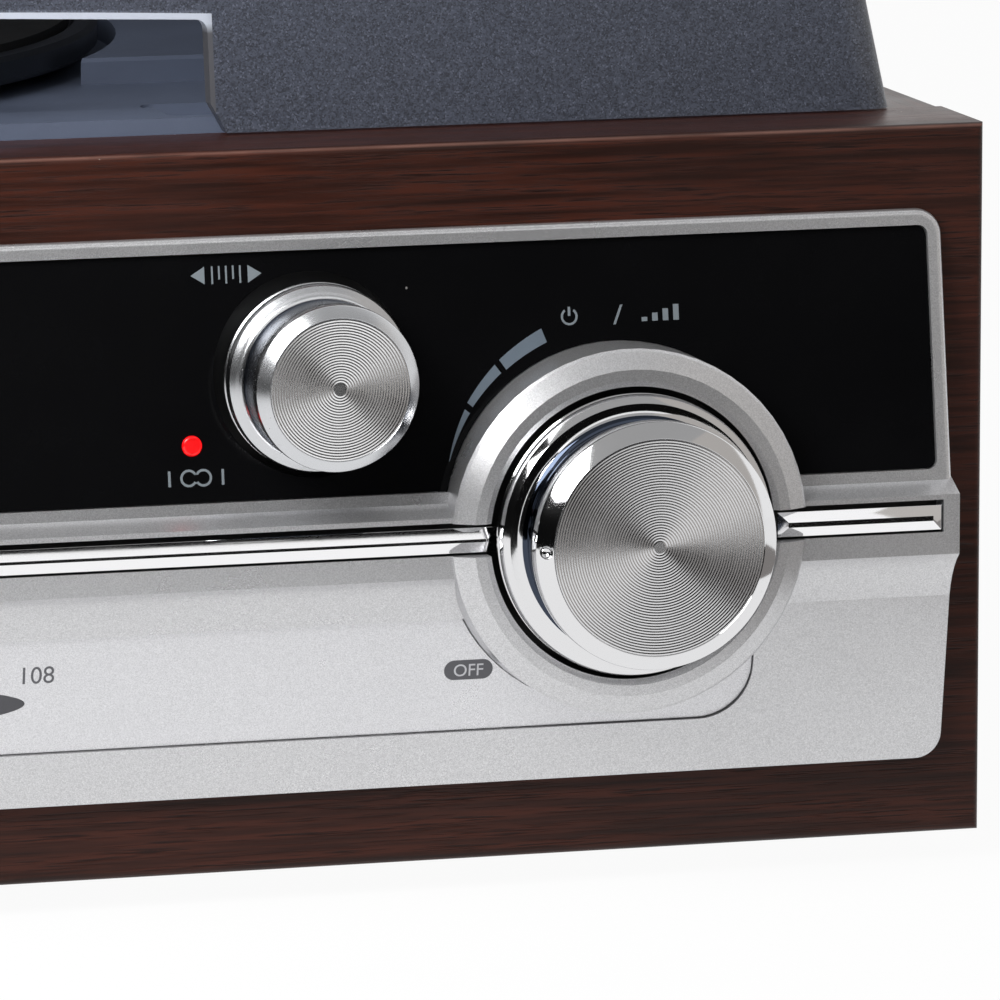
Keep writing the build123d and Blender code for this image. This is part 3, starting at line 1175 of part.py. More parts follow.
def counterweight():
    """The weight on the arm's tail."""
    front = YOKE_RADIUS + WEIGHT_GAP
    weight = arm_rod(WEIGHT_RADIUS, -front, front + WEIGHT_LENGTH)
    weight = fillet(weight.edges(), 1.0)
    return weight - arm_rod(ARM_TUBE_RADIUS, 0, ARM_TAIL * 2)


def tonearm_yoke():
    """The turning fork that carries the arm's axle."""
    floor = PLATFORM_TOP + ARM_BASE_HEIGHT + SEAT
    yoke = post(YOKE_RADIUS, ARM_PIVOT_X, ARM_PIVOT_DEPTH, floor, floor + YOKE_FLOOR)
    yoke += post(YOKE_SHAFT_RADIUS, ARM_PIVOT_X, ARM_PIVOT_DEPTH, PLATFORM_TOP + YOKE_SHAFT_END, floor + 1)
    inner = ARM_BLOCK / 2 + MOVING
    for side in (-1, 1):
        left = min(side * inner, side * (inner + ARM_EAR))
        ear = arm_block(left, left + ARM_EAR, EAR_HALF, EAR_HALF, floor, ARM_AXIS_Z + EAR_ABOVE)
        yoke += ear
    return yoke - cross_rod(ARM_AXLE_RADIUS + RUNNING, -YOKE_RADIUS, YOKE_RADIUS, 0, ARM_AXIS_Z)


def lift_stem_place():
    """The lift bar's stem, in the parked arm's own directions."""
    angle = radians(LIFT_STEM_ANGLE)
    return Pos(-LIFT_DISTANCE * sin(angle), -LIFT_DISTANCE * cos(angle), 0)


def lift_bar():
    """The curved bar under the arm, on its sliding stem."""
    top = ARM_AXIS_Z - ARM_TUBE_RADIUS - SEAT
    half = LIFT_BAR_WIDTH / 2
    ring = Circle(LIFT_DISTANCE + half) - Circle(LIFT_DISTANCE - half)
    start = -90 - LIFT_SWEEP_IN
    sector = make_face(
        Polyline((0, 0), *[(2 * LIFT_DISTANCE * cos(radians(start + step * LIFT_SWEEP / 4)),
                            2 * LIFT_DISTANCE * sin(radians(start + step * LIFT_SWEEP / 4)))
                           for step in range(5)], close=True))
    bar = ARM_PLACE * Pos(0, 0, top - LIFT_BAR_THICK) * extrude(ring & sector, amount=LIFT_BAR_THICK)
    stem_top = top - LIFT_BAR_THICK / 2
    stem_low = PLATFORM_TOP + LIFT_STEM_END
    stem = Pos(0, 0, (stem_low + stem_top) / 2) * Cylinder(LIFT_RADIUS, stem_top - stem_low)
    return bar + ARM_PLACE * lift_stem_place() * stem


def tonearm_base():
    """The fixed pillar, with the lift's guide and the cue lever's bracket."""
    top = PLATFORM_TOP + ARM_BASE_HEIGHT
    base = post(ARM_BASE_RADIUS, ARM_PIVOT_X, ARM_PIVOT_DEPTH, PLATFORM_TOP, top)
    base = fillet(base.faces().sort_by(Axis.Z)[-1].edges(), 1.5)
    guide_height = PLATFORM_TOP + LIFT_GUIDE_HEIGHT
    tower = Pos(0, 0, (PLATFORM_TOP + guide_height) / 2) * Cylinder(LIFT_GUIDE_RADIUS,
                                                                guide_height - PLATFORM_TOP)
    web = Pos(0, 0, PLATFORM_TOP + ARM_BASE_HEIGHT / 4) * Rot(0, 0, -LIFT_STEM_ANGLE) * Pos(
        0, -LIFT_DISTANCE / 2, 0) * Box(LIFT_GUIDE_RADIUS, LIFT_DISTANCE, ARM_BASE_HEIGHT / 2)
    base += ARM_PLACE * lift_stem_place() * tower
    base += ARM_PLACE * web
    ear_left = CUE_X - CUE_EAR - CUE_WIDTH / 2 - MOVING / 2
    base += block(ear_left, ear_left + CUE_EAR, CUE_DEPTH - CUE_EAR, CUE_DEPTH + CUE_EAR, PLATFORM_TOP,
                  CUE_Z + CUE_EAR)
    base += block(ARM_PIVOT_X, ear_left + CUE_EAR, CUE_DEPTH - CUE_EAR / 2, CUE_DEPTH + CUE_EAR / 2,
                  PLATFORM_TOP, PLATFORM_TOP + ARM_BASE_HEIGHT / 2)
    base -= post(YOKE_SHAFT_RADIUS + RUNNING, ARM_PIVOT_X, ARM_PIVOT_DEPTH,
                 PLATFORM_TOP + YOKE_SHAFT_END - SEAT, top)
    bore = Pos(0, 0, PLATFORM_TOP + LIFT_STEM_END - LIFT_ROOM + 20) * Cylinder(LIFT_RADIUS + RUNNING, 40)
    base -= ARM_PLACE * lift_stem_place() * bore
    pin = place(0, CUE_DEPTH, CUE_Z) * Pos(ear_left + CUE_EAR / 2, 0, 0) * Rot(0, 90, 0) * Cylinder(
        CUE_PIN_RADIUS + RUNNING, CUE_EAR * 2)
    return base - pin


def cue_lever():
    """The lever that raises the lift bar, with its pivot pin."""
    half = CUE_WIDTH / 2
    lever = block(CUE_X - half, CUE_X + half, CUE_DEPTH - CUE_LEVER_LENGTH, CUE_DEPTH,
                  CUE_Z - CUE_THICK / 2, CUE_Z + CUE_THICK / 2)
    hub = place(CUE_X, CUE_DEPTH, CUE_Z) * Rot(0, 90, 0) * Cylinder(CUE_HUB_RADIUS, CUE_WIDTH)
    tip = place(CUE_X, CUE_DEPTH - CUE_LEVER_LENGTH, CUE_Z + CUE_THICK / 4) * Sphere(CUE_TIP_RADIUS)
    pin_length = CUE_EAR + MOVING / 2 + half
    pin = place(CUE_X - pin_length / 2, CUE_DEPTH, CUE_Z) * Rot(0, 90, 0) * Cylinder(
        CUE_PIN_RADIUS, pin_length)
    return lever + hub + tip + pin


def arm_rest():
    """The post the parked arm lies over: a shelf open to the platter and an outer wall."""
    half = REST_LENGTH / 2
    shelf_top = ARM_AXIS_Z - ARM_TUBE_RADIUS - SEAT
    wall_left = ARM_TUBE_RADIUS + MOVING
    near = REST_DISTANCE - half
    far = REST_DISTANCE + half
    stem = Pos(0, -REST_DISTANCE, (PLATFORM_TOP + shelf_top) / 2) * Cylinder(REST_RADIUS,
                                                                         shelf_top - PLATFORM_TOP)
    foot = Pos(0, -REST_DISTANCE, PLATFORM_TOP + REST_FOOT / 2) * Cylinder(REST_RADIUS * 1.8, REST_FOOT)
    shelf = arm_block(-REST_RADIUS, wall_left + REST_WALL, far, -near, shelf_top - REST_SHELF, shelf_top)
    wall = arm_block(wall_left, wall_left + REST_WALL, far, -near, shelf_top - 1, ARM_AXIS_Z)
    ears = arm_block(wall_left, CLIP_X + CLIP_HUB, far, -near, ARM_AXIS_Z - CLIP_DROP - CLIP_HUB,
                     ARM_AXIS_Z - CLIP_DROP + CLIP_HUB)
    gap = arm_block(wall_left + REST_WALL, CLIP_X + CLIP_HUB + 1, REST_DISTANCE + CLIP_ROOM,
                    -REST_DISTANCE + CLIP_ROOM, ARM_AXIS_Z - CLIP_DROP - 2 * CLIP_HUB,
                    ARM_AXIS_Z + CLIP_DROP)
    rest = ARM_PLACE * (stem + foot) + shelf + wall + (ears - gap)
    pin = Pos(CLIP_X, -REST_DISTANCE, ARM_AXIS_Z - CLIP_DROP) * Rot(90, 0, 0) * Cylinder(
        CLIP_PIN_RADIUS + RUNNING, REST_LENGTH + 2)
    return rest - ARM_PLACE * pin


def arm_clip():
    """The clip that locks the parked arm, shown open; its pin turns in the rest's ears."""
    axis = Pos(CLIP_X, -REST_DISTANCE, ARM_AXIS_Z - CLIP_DROP)
    hub = Rot(90, 0, 0) * Cylinder(CLIP_HUB - SEAT, CLIP_WIDTH)
    pin = Rot(90, 0, 0) * Cylinder(CLIP_PIN_RADIUS, REST_LENGTH)
    roof_z = CLIP_DROP + ARM_TUBE_RADIUS + MOVING + CLIP_THICK / 2
    reach = CLIP_X + ARM_TUBE_RADIUS
    stalk = Pos(CLIP_THICK / 2, 0, roof_z / 2) * Box(CLIP_THICK, CLIP_WIDTH, roof_z)
    roof = Pos(-reach / 2 + CLIP_THICK / 2, 0, roof_z) * Box(reach + CLIP_THICK, CLIP_WIDTH, CLIP_THICK)
    return ARM_PLACE * axis * Rot(0, CLIP_OPEN, 0) * (hub + pin + stalk + roof)


# ---------------------------------------------------------------- dust cover
def cover_shell(inset, low, height):
    """A tapered block with rounded corners, inset from the cover's outer faces."""
    lean = tan(radians(COVER_LEAN))
    back_lean = tan(radians(COVER_BACK_LEAN))
    levels = []
    for rise in (0, height):
        half = HALF_WIDTH - COVER_MARGIN - inset - lean * rise
        front = COVER_FRONT + inset + lean * rise
        back = COVER_BACK - inset - back_lean * rise
        outline = RectangleRounded(2 * half, back - front, COVER_CORNER - inset / 2)
        levels.append(place(0, (front + back) / 2, low + rise) * outline)
    return loft(levels)


def cover_notch():
    """The opening in the cover's front wall that a long-playing record passes through."""
    low = TOP - 1
    top = TOP + NOTCH_HEIGHT
    crown = top + NOTCH_CROWN
    foot = NOTCH_HALF_WIDTH + NOTCH_FLARE
    left = (-NOTCH_HALF_WIDTH, top)
    right = (NOTCH_HALF_WIDTH, top)
    sides = Polyline(right, (NOTCH_HALF_WIDTH, TOP + NOTCH_FLARE * 2), (foot, TOP + COVER_GAP),
                     (foot, low), (-foot, low), (-foot, TOP + COVER_GAP),
                     (-NOTCH_HALF_WIDTH, TOP + NOTCH_FLARE * 2), left)
    outline = make_face(sides + ThreePointArc(left, (0, crown), right))
    upright = Plane(origin=(0, FRONT_Y + 2 * COVER_FRONT, 0), x_dir=(1, 0, 0), z_dir=(0, -1, 0))
    opening = extrude(upright * outline, amount=2 * COVER_FRONT)
    corners = opening.edges().filter_by(Axis.Y).group_by(Axis.Z)[-1]
    return fillet(corners, NOTCH_ROUND)


def dust_cover():
    foot = TOP + COVER_GAP
    outer = cover_shell(0, foot, COVER_HEIGHT)
    outer = fillet(outer.faces().sort_by(Axis.Z)[-1].edges(), COVER_TOP_ROUND)
    inner = cover_shell(COVER_WALL, foot - 1, COVER_HEIGHT - COVER_WALL + 1)
    return outer - inner - cover_notch()


def hinge_places():
    return (-HINGE_SPACING / 2, HINGE_SPACING / 2)


def cross_pin(radius, left, right):
    """A cylinder across the set on the hinge's line."""
    return place((left + right) / 2, HINGE_DEPTH, HINGE_Z) * Rot(0, 90, 0) * Cylinder(
        radius, right - left)


def hinge_brackets():
    brackets = []
    for x in hinge_places():
        half = HINGE_WIDTH / 2
        inner = HINGE_ARM_WIDTH / 2 + MOVING
        base = block(x - half, x + half, HINGE_DEPTH - HINGE_FOOT, HINGE_DEPTH + HINGE_FOOT, TOP,
                     TOP + HINGE_LEAF)
        for side in (-1, 1):
            left = min(x + side * inner, x + side * half)
            right = left + half - inner
            base += cross_pin(HINGE_KNUCKLE, left, right)
            base += block(left, right, HINGE_DEPTH - HINGE_KNUCKLE, HINGE_DEPTH + HINGE_KNUCKLE,
                          TOP + HINGE_LEAF / 2, HINGE_Z)
        brackets.append(base - cross_pin(HINGE_PIN_RADIUS, x - half, x + half))
    return Compound(children=brackets)


def hinge_pins():
    half = HINGE_WIDTH / 2
    return Compound(children=[cross_pin(HINGE_PIN_RADIUS, x - half, x + half)
                              for x in hinge_places()])


def hinge_arms():
    """The leaves on the cover's rear wall, each with its knuckle."""
    arms = []
    outer = cover_shell(0, TOP + COVER_GAP, COVER_HEIGHT)
    for x in hinge_places():
        half = HINGE_WIDTH / 2
        knuckle = HINGE_ARM_WIDTH / 2
        leaf = block(x - half, x + half, COVER_BACK - HINGE_LEAF, COVER_BACK + HINGE_LEAF / 2,
                     HINGE_Z - HINGE_KNUCKLE + 1, HINGE_Z + HINGE_LEAF_HEIGHT)
        neck = block(x - knuckle, x + knuckle, COVER_BACK - HINGE_LEAF, HINGE_DEPTH,
                     HINGE_Z - HINGE_KNUCKLE / 2, HINGE_Z + HINGE_KNUCKLE / 2)
        arm = leaf + neck + cross_pin(HINGE_KNUCKLE, x - knuckle, x + knuckle) - outer
        arms.append(arm - cross_pin(HINGE_PIN_RADIUS + RUNNING, x - half, x + half))
    return Compound(children=arms)


# ---------------------------------------------------------------- electrics
def circuit_board():
    """The main board on its four pillars, with its capacitors, coils and heat sink."""
    low = BASE + BOTTOM_BOARD
    face = low + BOARD_LIFT + BOARD_THICKNESS
    right = BOARD_LEFT + BOARD_WIDTH
    back = BOARD_FRONT + BOARD_LENGTH
    board = block(BOARD_LEFT, right, BOARD_FRONT, back, low + BOARD_LIFT, face)
    for x in (BOARD_LEFT + BOARD_MARGIN, right - BOARD_MARGIN):
        for depth in (BOARD_FRONT + BOARD_MARGIN, back - BOARD_MARGIN):
            board += post(BOARD_PILLAR, x, depth, low, low + BOARD_LIFT)
    for index in range(CAN_COUNT):
        x = BOARD_LEFT + CAN_INSET + CAN_PITCH * index
        coil_front = BOARD_FRONT + 2 * CAN_INSET
        board += post(CAN_RADIUS, x, BOARD_FRONT + CAN_INSET, face, face + CAN_HEIGHT)
        board += block(x - COIL_CAN_SIDE / 2, x + COIL_CAN_SIDE / 2, coil_front,
                       coil_front + COIL_CAN_LENGTH, face, face + COIL_CAN_HEIGHT)
    board += post(BIG_CAN_RADIUS, right - BIG_CAN_INSET, BOARD_FRONT + BIG_CAN_INSET, face,
                  face + BIG_CAN_HEIGHT)
    sink_right = right - HEAT_SINK_INSET
    sink_back = back - HEAT_SINK_INSET
    board += block(sink_right - HEAT_SINK_LENGTH, sink_right, sink_back - HEAT_SINK_THICKNESS,
                   sink_back, face, face + HEAT_SINK_HEIGHT)
    plug_left = BOARD_LEFT + PLUG_INSET
    board += block(plug_left, plug_left + PLUG_LENGTH, back - 2 * PLUG_WIDTH, back - PLUG_WIDTH,
                   face, face + PLUG_WIDTH)
    return board


def transformer():
    """The mains transformer: laminated core and winding on a foot plate."""
    low = BASE + BOTTOM_BOARD
    x = TRANSFORMER_X
    depth = TRANSFORMER_DEPTH
    foot_top = low + FOOT_PLATE
    foot = block(x - FOOT_PLATE_WIDTH / 2, x + FOOT_PLATE_WIDTH / 2, depth - FOOT_PLATE_LENGTH / 2,
                 depth + FOOT_PLATE_LENGTH / 2, low, foot_top)
    core = block(x - CORE_WIDTH / 2, x + CORE_WIDTH / 2, depth - CORE_LENGTH / 2,
                 depth + CORE_LENGTH / 2, foot_top, foot_top + CORE_HEIGHT)
    coil_low = foot_top + (CORE_HEIGHT - COIL_HEIGHT) / 2
    coil = block(x - COIL_WIDTH / 2, x + COIL_WIDTH / 2, depth - COIL_LENGTH / 2,
                 depth + COIL_LENGTH / 2, coil_low, coil_low + COIL_HEIGHT)
    coil = fillet(coil.edges(), COIL_ROUND)
    return foot + core + coil


def sideways(points):
    """A solid turned about the right-hand speaker's axis, from (radius, x) points."""
    outline = make_face(Polyline(*points, close=True))
    about_x = revolve(outline, Axis.Y)
    return place(0, SPEAKER_DEPTH, SPEAKER_HEIGHT) * Rot(0, 0, -90) * about_x


def speaker_frames():
    face = INNER_HALF
    flange = face - SPEAKER_FLANGE
    rear = flange - SPEAKER_BASKET
    shell = 1.5
    frame = sideways([
        (SPEAKER_RADIUS, face), (SPEAKER_RADIUS, flange), (SPEAKER_RADIUS - 4, flange),
        (MAGNET_RADIUS, rear), (MAGNET_RADIUS, rear - MAGNET_LENGTH), (0, rear - MAGNET_LENGTH),
        (0, rear + shell), (MAGNET_RADIUS - shell, rear + shell),
        (SPEAKER_RADIUS - 4 - shell, flange), (SPEAKER_RADIUS - 4 - shell, face)])
    return both_sides(frame)


def speaker_cones():
    front = INNER_HALF - CONE_SINK
    edge = SPEAKER_RADIUS - 4 - 1.5
    rear = INNER_HALF - SPEAKER_FLANGE - SPEAKER_BASKET + CONE_LIFT
    cone = sideways([
        (edge, front), (edge, front - 1.0), (edge - 4, front - 1.0), (CONE_NECK, rear), (0, rear),
        (0, rear + 6.0), (CONE_NECK, rear + 1.5), (edge - 4.5, front - 0.2), (edge - 2, front)])
    return both_sides(cone)


def jack_places():
    return (-JACK_SPACING / 2 - JACK_X, JACK_SPACING / 2 - JACK_X)


def line_jacks():
    jacks = []
    front = REAR_FACE - REAR_PANEL
    for x in jack_places():
        jack = rod(JACK_RADIUS, x, front - JACK_INSIDE, REAR_FACE + JACK_LENGTH, JACK_Z)
        jack += rod(JACK_RADIUS + 1.6, x, REAR_FACE, REAR_FACE + 1.0, JACK_Z)
        jack += rod(JACK_RADIUS + 1.6, x, front - 2.0, front, JACK_Z)
        jacks.append(jack - rod(JACK_BORE, x, REAR_FACE - 1, REAR_FACE + JACK_LENGTH + 1, JACK_Z))
    return Compound(children=jacks)


def cord_gland():
    front = REAR_FACE - REAR_PANEL
    inner_end = REAR_FACE - GLAND_LENGTH / 2
    outer_end = REAR_FACE + GLAND_LENGTH / 2
    collar = GLAND_RADIUS + GLAND_COLLAR
    gland = rod(GLAND_RADIUS, GLAND_X, inner_end, outer_end, JACK_Z)
    gland += rod(collar, GLAND_X, REAR_FACE, REAR_FACE + GLAND_COLLAR, JACK_Z)
    gland += rod(collar, GLAND_X, front - GLAND_COLLAR, front, JACK_Z)
    return gland - rod(GLAND_BORE, GLAND_X, inner_end, outer_end, JACK_Z)


# ---------------------------------------------------------------- the whole set
SUBPARTS = {
    "front_board": front_board(),
    "side_board_right": side_board(),
    "side_board_left": mirrored(side_board()),
    "bottom_board": bottom_board(),
    "deck_battens": deck_battens(),
    "rear_panel": rear_panel(),
    "rubber_feet": rubber_feet(),
    "case_screws": case_screws(),
    "front_fascia": front_fascia(),
    "display_window": display_window(),
    "belt_bars": belt_bars(),
    "dial_plate": dial_plate(),
    "dial_lens": dial_lens(),
    "stereo_led": stereo_led(),
    "control_bracket": control_bracket(),
    "dial_pointer": dial_pointer(),
    "dial_drum": dial_drum(),
    "dial_cord": dial_cord(),
    "tuning_capacitor": tuning_capacitor(),
    "volume_knob": big_knob(),
    "volume_knob_disc": big_disc(),
    "volume_shaft": big_shaft(),
    "function_knob": mirrored(big_knob()),
    "function_knob_disc": mirrored(big_disc()),
    "function_shaft": mirrored(big_shaft()),
    "tuning_knob": small_knob(),
    "tuning_knob_disc": small_disc(),
    "tuning_shaft": tuning_shaft(),
    "tone_knob": mirrored(small_knob()),
    "tone_knob_disc": mirrored(small_disc()),
    "tone_shaft": mirrored(small_shaft()),
    "rotary_pots": rotary_pots(),
    "function_switch": function_switch(),
    "turntable_deck": turntable_deck(),
    "speed_selector": speed_selector(),
    "spindle": spindle(),
    "platter": platter(),
    "slip_mat": slip_mat(),
    "drive_belt": drive_belt(),
    "motor": motor(),
    "motor_pulley": motor_pulley(),
    "tonearm_base": tonearm_base(),
    "tonearm_yoke": tonearm_yoke(),
    "tonearm_tube": tonearm_tube(),
    "cartridge": cartridge(),
    "counterweight": counterweight(),
    "lift_bar": lift_bar(),
    "cue_lever": cue_lever(),
    "arm_rest": arm_rest(),
    "arm_clip": arm_clip(),
    "dust_cover": dust_cover(),
    "hinge_brackets": hinge_brackets(),
    "hinge_arms": hinge_arms(),
    "hinge_pins": hinge_pins(),
    "circuit_board": circuit_board(),
    "transformer": transformer(),
    "speaker_frames": speaker_frames(),
    "speaker_cones": speaker_cones(),
    "line_jacks": line_jacks(),
    "cord_gland": cord_gland(),
}

os.makedirs("parts", exist_ok=True)
for name, shape in SUBPARTS.items():
    export_step(shape, f"parts/{name}.step")
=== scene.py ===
"""Dresses the stereo music centre: finishes, prints, detailed pieces, light and camera.

Lengths are in millimetres in the dataclass fields and turned into metres where they are used.
The cabinet stands on z = 0, its front faces -Y, and its middle is x = 0.
"""
import logging
import math
from dataclasses import dataclass
from enum import Enum
from typing import ClassVar

import bpy
from mathutils import Matrix, Vector


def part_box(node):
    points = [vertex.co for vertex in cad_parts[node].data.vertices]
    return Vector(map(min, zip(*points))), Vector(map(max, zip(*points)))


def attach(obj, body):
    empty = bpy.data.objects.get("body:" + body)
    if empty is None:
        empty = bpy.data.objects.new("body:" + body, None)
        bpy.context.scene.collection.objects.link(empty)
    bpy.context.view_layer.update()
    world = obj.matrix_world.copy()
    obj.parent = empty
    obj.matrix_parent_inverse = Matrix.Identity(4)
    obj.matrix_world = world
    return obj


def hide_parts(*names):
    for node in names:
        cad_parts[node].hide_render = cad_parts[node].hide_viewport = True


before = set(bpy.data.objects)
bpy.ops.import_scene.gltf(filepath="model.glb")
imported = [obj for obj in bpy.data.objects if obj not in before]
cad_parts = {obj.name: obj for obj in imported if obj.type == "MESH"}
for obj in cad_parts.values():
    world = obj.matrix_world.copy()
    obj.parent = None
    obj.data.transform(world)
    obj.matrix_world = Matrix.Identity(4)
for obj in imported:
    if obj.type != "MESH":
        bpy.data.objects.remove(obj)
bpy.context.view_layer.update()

log = logging.getLogger("music_centre")
MM = 0.001
Place = tuple[float, float, float]
Colour = tuple[float, float, float]


def srgb(red: int, green: int, blue: int) -> Colour:
    """Turns a colour of 0-255 steps, as paint cards give it, into linear light."""
    def step(value: int) -> float:
        """One channel of the colour."""
        part = value / 255
        return part / 12.92 if part <= 0.04045 else ((part + 0.055) / 1.055) ** 2.4
    return step(red), step(green), step(blue)


# ---------------------------------------------------------------- shader wiring


def wire(tree: bpy.types.NodeTree, kind: str, inputs: dict | None = None, **settings) -> bpy.types.Node:
    """Adds one shader node to a tree.

    Args:
        tree: the material's or group's node tree.
        kind: the node's type, without "ShaderNode".
        inputs: what goes into each input, by name or number: a socket to link, or a plain value.
        settings: the node's own settings.

    Returns:
        The new node.
    """
    node = tree.nodes.new("ShaderNode" + kind)
    for name, value in settings.items():
        setattr(node, name, value)
    for name, value in (inputs or {}).items():
        socket = node.inputs[name]
        if isinstance(value, bpy.types.NodeSocket):
            tree.links.new(value, socket)
        elif socket.type == "RGBA" and len(value) == 3:
            socket.default_value = (*value, 1.0)
        else:
            socket.default_value = value
    return node


def sums(tree: bpy.types.NodeTree, operation: str, *values) -> bpy.types.NodeSocket:
    """Adds a Math node of that operation over the values and returns its result."""
    return wire(tree, "Math", dict(enumerate(values)), operation=operation).outputs[0]


def spread(tree: bpy.types.NodeTree, value, low: float, high: float, to_low: float = 0.0,
           to_high: float = 1.0) -> bpy.types.NodeSocket:
    """Maps a value from low..high onto to_low..to_high, clamped, and returns the result."""
    node = wire(tree, "MapRange", {"Value": value, "From Min": low, "From Max": high,
                                   "To Min": to_low, "To Max": to_high})
    return node.outputs["Result"]


def tint(tree: bpy.types.NodeTree, factor, first, second, blend: str = "MIX") -> bpy.types.NodeSocket:
    """Mixes two colours by a factor and returns the colour."""
    node = wire(tree, "Mix", data_type="RGBA", blend_type=blend)
    for number, value in ((0, factor), (6, first), (7, second)):
        socket = node.inputs[number]
        if isinstance(value, bpy.types.NodeSocket):
            tree.links.new(value, socket)
        else:
            socket.default_value = value if number == 0 else (*value, 1.0)
    return node.outputs[2]


def noise(tree: bpy.types.NodeTree, vector, scale: float, detail: float = 2.0,
          roughness: float = 0.5) -> bpy.types.NodeSocket:
    """Adds a noise texture and returns its value."""
    inputs = {"Vector": vector, "Scale": scale, "Detail": detail, "Roughness": roughness}
    return wire(tree, "TexNoise", inputs).outputs["Fac"]


def placed(tree: bpy.types.NodeTree, centre: Place = (0.0, 0.0, 0.0)) -> bpy.types.NodeSocket:
    """Returns object coordinates, moved so that centre (in millimetres) is zero."""
    where = wire(tree, "TexCoord").outputs["Object"]
    shift = tuple(-part * MM for part in centre)
    return wire(tree, "Mapping", {"Vector": where, "Location": shift}).outputs["Vector"]


class Effects:
    """The shader node groups that several finishes share, each built once."""

    made: ClassVar[dict[str, bpy.types.NodeTree]] = {}

    @classmethod
    def start(cls, name: str, inputs: dict[str, float | None], outputs: list[str]) -> tuple:
        """Makes an empty group with its named sockets.

        Args:
            name: the group's name.
            inputs: each input's default value, or None for a vector.
            outputs: the names of its value outputs.

        Returns:
            The tree, its input node and its output node.
        """
        tree = bpy.data.node_groups.new(name, "ShaderNodeTree")
        for label, value in inputs.items():
            kind = "NodeSocketVector" if value is None else "NodeSocketFloat"
            socket = tree.interface.new_socket(label, in_out="INPUT", socket_type=kind)
            if value is not None:
                socket.default_value = value
        for label in outputs:
            tree.interface.new_socket(label, in_out="OUTPUT", socket_type="NodeSocketFloat")
        cls.made[name] = tree
        return tree, tree.nodes.new("NodeGroupInput"), tree.nodes.new("NodeGroupOutput")

    @classmethod
    def grain(cls) -> bpy.types.NodeTree:
        """Wood grain along the vector's X: broad bands and short dark pores."""
        if "wood_grain" in cls.made:
            return cls.made["wood_grain"]
        outputs = ["Band", "Pore", "Height"]
        tree, given, out = cls.start("wood_grain", {"Vector": None, "Pores": 0.6}, outputs)
        vector = given.outputs["Vector"]
        slow = wire(tree, "Mapping", {"Vector": vector, "Scale": (5, 60, 60)}).outputs["Vector"]
        mid = wire(tree, "Mapping", {"Vector": vector, "Scale": (26, 800, 800)}).outputs["Vector"]
        fine = wire(tree, "Mapping", {"Vector": vector, "Scale": (120, 3600, 3600)}).outputs["Vector"]
        band = sums(tree, "MULTIPLY_ADD", noise(tree, mid, 1.0, 4.0), 0.70,
                    sums(tree, "MULTIPLY", noise(tree, slow, 1.0, 2.0), 0.30))
        pore = spread(tree, noise(tree, fine, 1.0, 2.0), 0.50, 0.66)
        pore = sums(tree, "MULTIPLY", pore, spread(tree, noise(tree, mid, 1.0, 1.0), 0.38, 0.62, 0.25, 1.0))
        pore = sums(tree, "MULTIPLY", pore, given.outputs["Pores"])
        height = sums(tree, "SUBTRACT", sums(tree, "MULTIPLY", band, 0.2), pore)
        for label, value in (("Band", band), ("Pore", pore), ("Height", height)):
            tree.links.new(value, out.inputs[label])
        return tree

    @classmethod
    def mica(cls) -> bpy.types.NodeTree:
        """Flakes in a metallic paint: cells of their own tone and tilt, and a few cells whose colour
        carries a painted glint.
        """
        if "mica_flakes" in cls.made:
            return cls.made["mica_flakes"]
        outputs = ["Tone", "Glint", "Height"]
        tree, given, out = cls.start("mica_flakes", {"Vector": None, "Flake": 0.2}, outputs)
        size = sums(tree, "DIVIDE", 1000.0, given.outputs["Flake"])
        cell = wire(tree, "TexVoronoi", {"Vector": given.outputs["Vector"], "Scale": size})
        shade = wire(tree, "SeparateColor", {"Color": cell.outputs["Color"]})
        tone = shade.outputs["Red"]
        # Glint marks the few cells that get a painted glint in their colour.
        glint = spread(tree, shade.outputs["Green"], 0.90, 0.97)
        cloud = noise(tree, given.outputs["Vector"], 900.0, 3.0)
        height = sums(tree, "MULTIPLY_ADD", cell.outputs["Distance"], shade.outputs["Blue"],
                      sums(tree, "MULTIPLY", cloud, 0.5))
        for label, value in (("Tone", tone), ("Glint", glint), ("Height", height)):
            tree.links.new(value, out.inputs[label])
        return tree

    @classmethod
    def wear(cls) -> bpy.types.NodeTree:
        """Handling marks: soft smears, hair scratches and sparse dust specks."""
        if "handling" in cls.made:
            return cls.made["handling"]
        outputs = ["Smear", "Scratch", "Speck"]
        tree, given, out = cls.start("handling", {"Vector": None, "Dust": 0.5}, outputs)
        vector = given.outputs["Vector"]
        smear = noise(tree, vector, 35.0, 4.0, 0.6)
        long_way = wire(tree, "Mapping", {"Vector": vector, "Rotation": (0.5, 0.35, 0.8),
                                          "Scale": (40, 1800, 1800)}).outputs["Vector"]
        scratch = spread(tree, noise(tree, long_way, 1.0, 1.0), 0.72, 0.78)
        dots = wire(tree, "TexVoronoi", {"Vector": vector, "Scale": 420.0})
        rare = wire(tree, "SeparateColor", {"Color": dots.outputs["Color"]}).outputs["Red"]
        level = sums(tree, "SUBTRACT", 1.0, sums(tree, "MULTIPLY", given.outputs["Dust"], 0.02))
        speck = sums(tree, "MULTIPLY", sums(tree, "GREATER_THAN", rare, level),
                     spread(tree, dots.outputs["Distance"], 0.10, 0.05))
        for label, value in (("Smear", smear), ("Scratch", scratch), ("Speck", speck)):
            tree.links.new(value, out.inputs[label])
        return tree


def effect(tree: bpy.types.NodeTree, group: bpy.types.NodeTree, vector, **values: float) -> bpy.types.Node:
    """Places a shared effect in a material, with its own values, and returns its node."""
    node = tree.nodes.new("ShaderNodeGroup")
    node.node_tree = group
    tree.links.new(vector, node.inputs["Vector"])
    for name, value in values.items():
        node.inputs[name].default_value = value
    return node


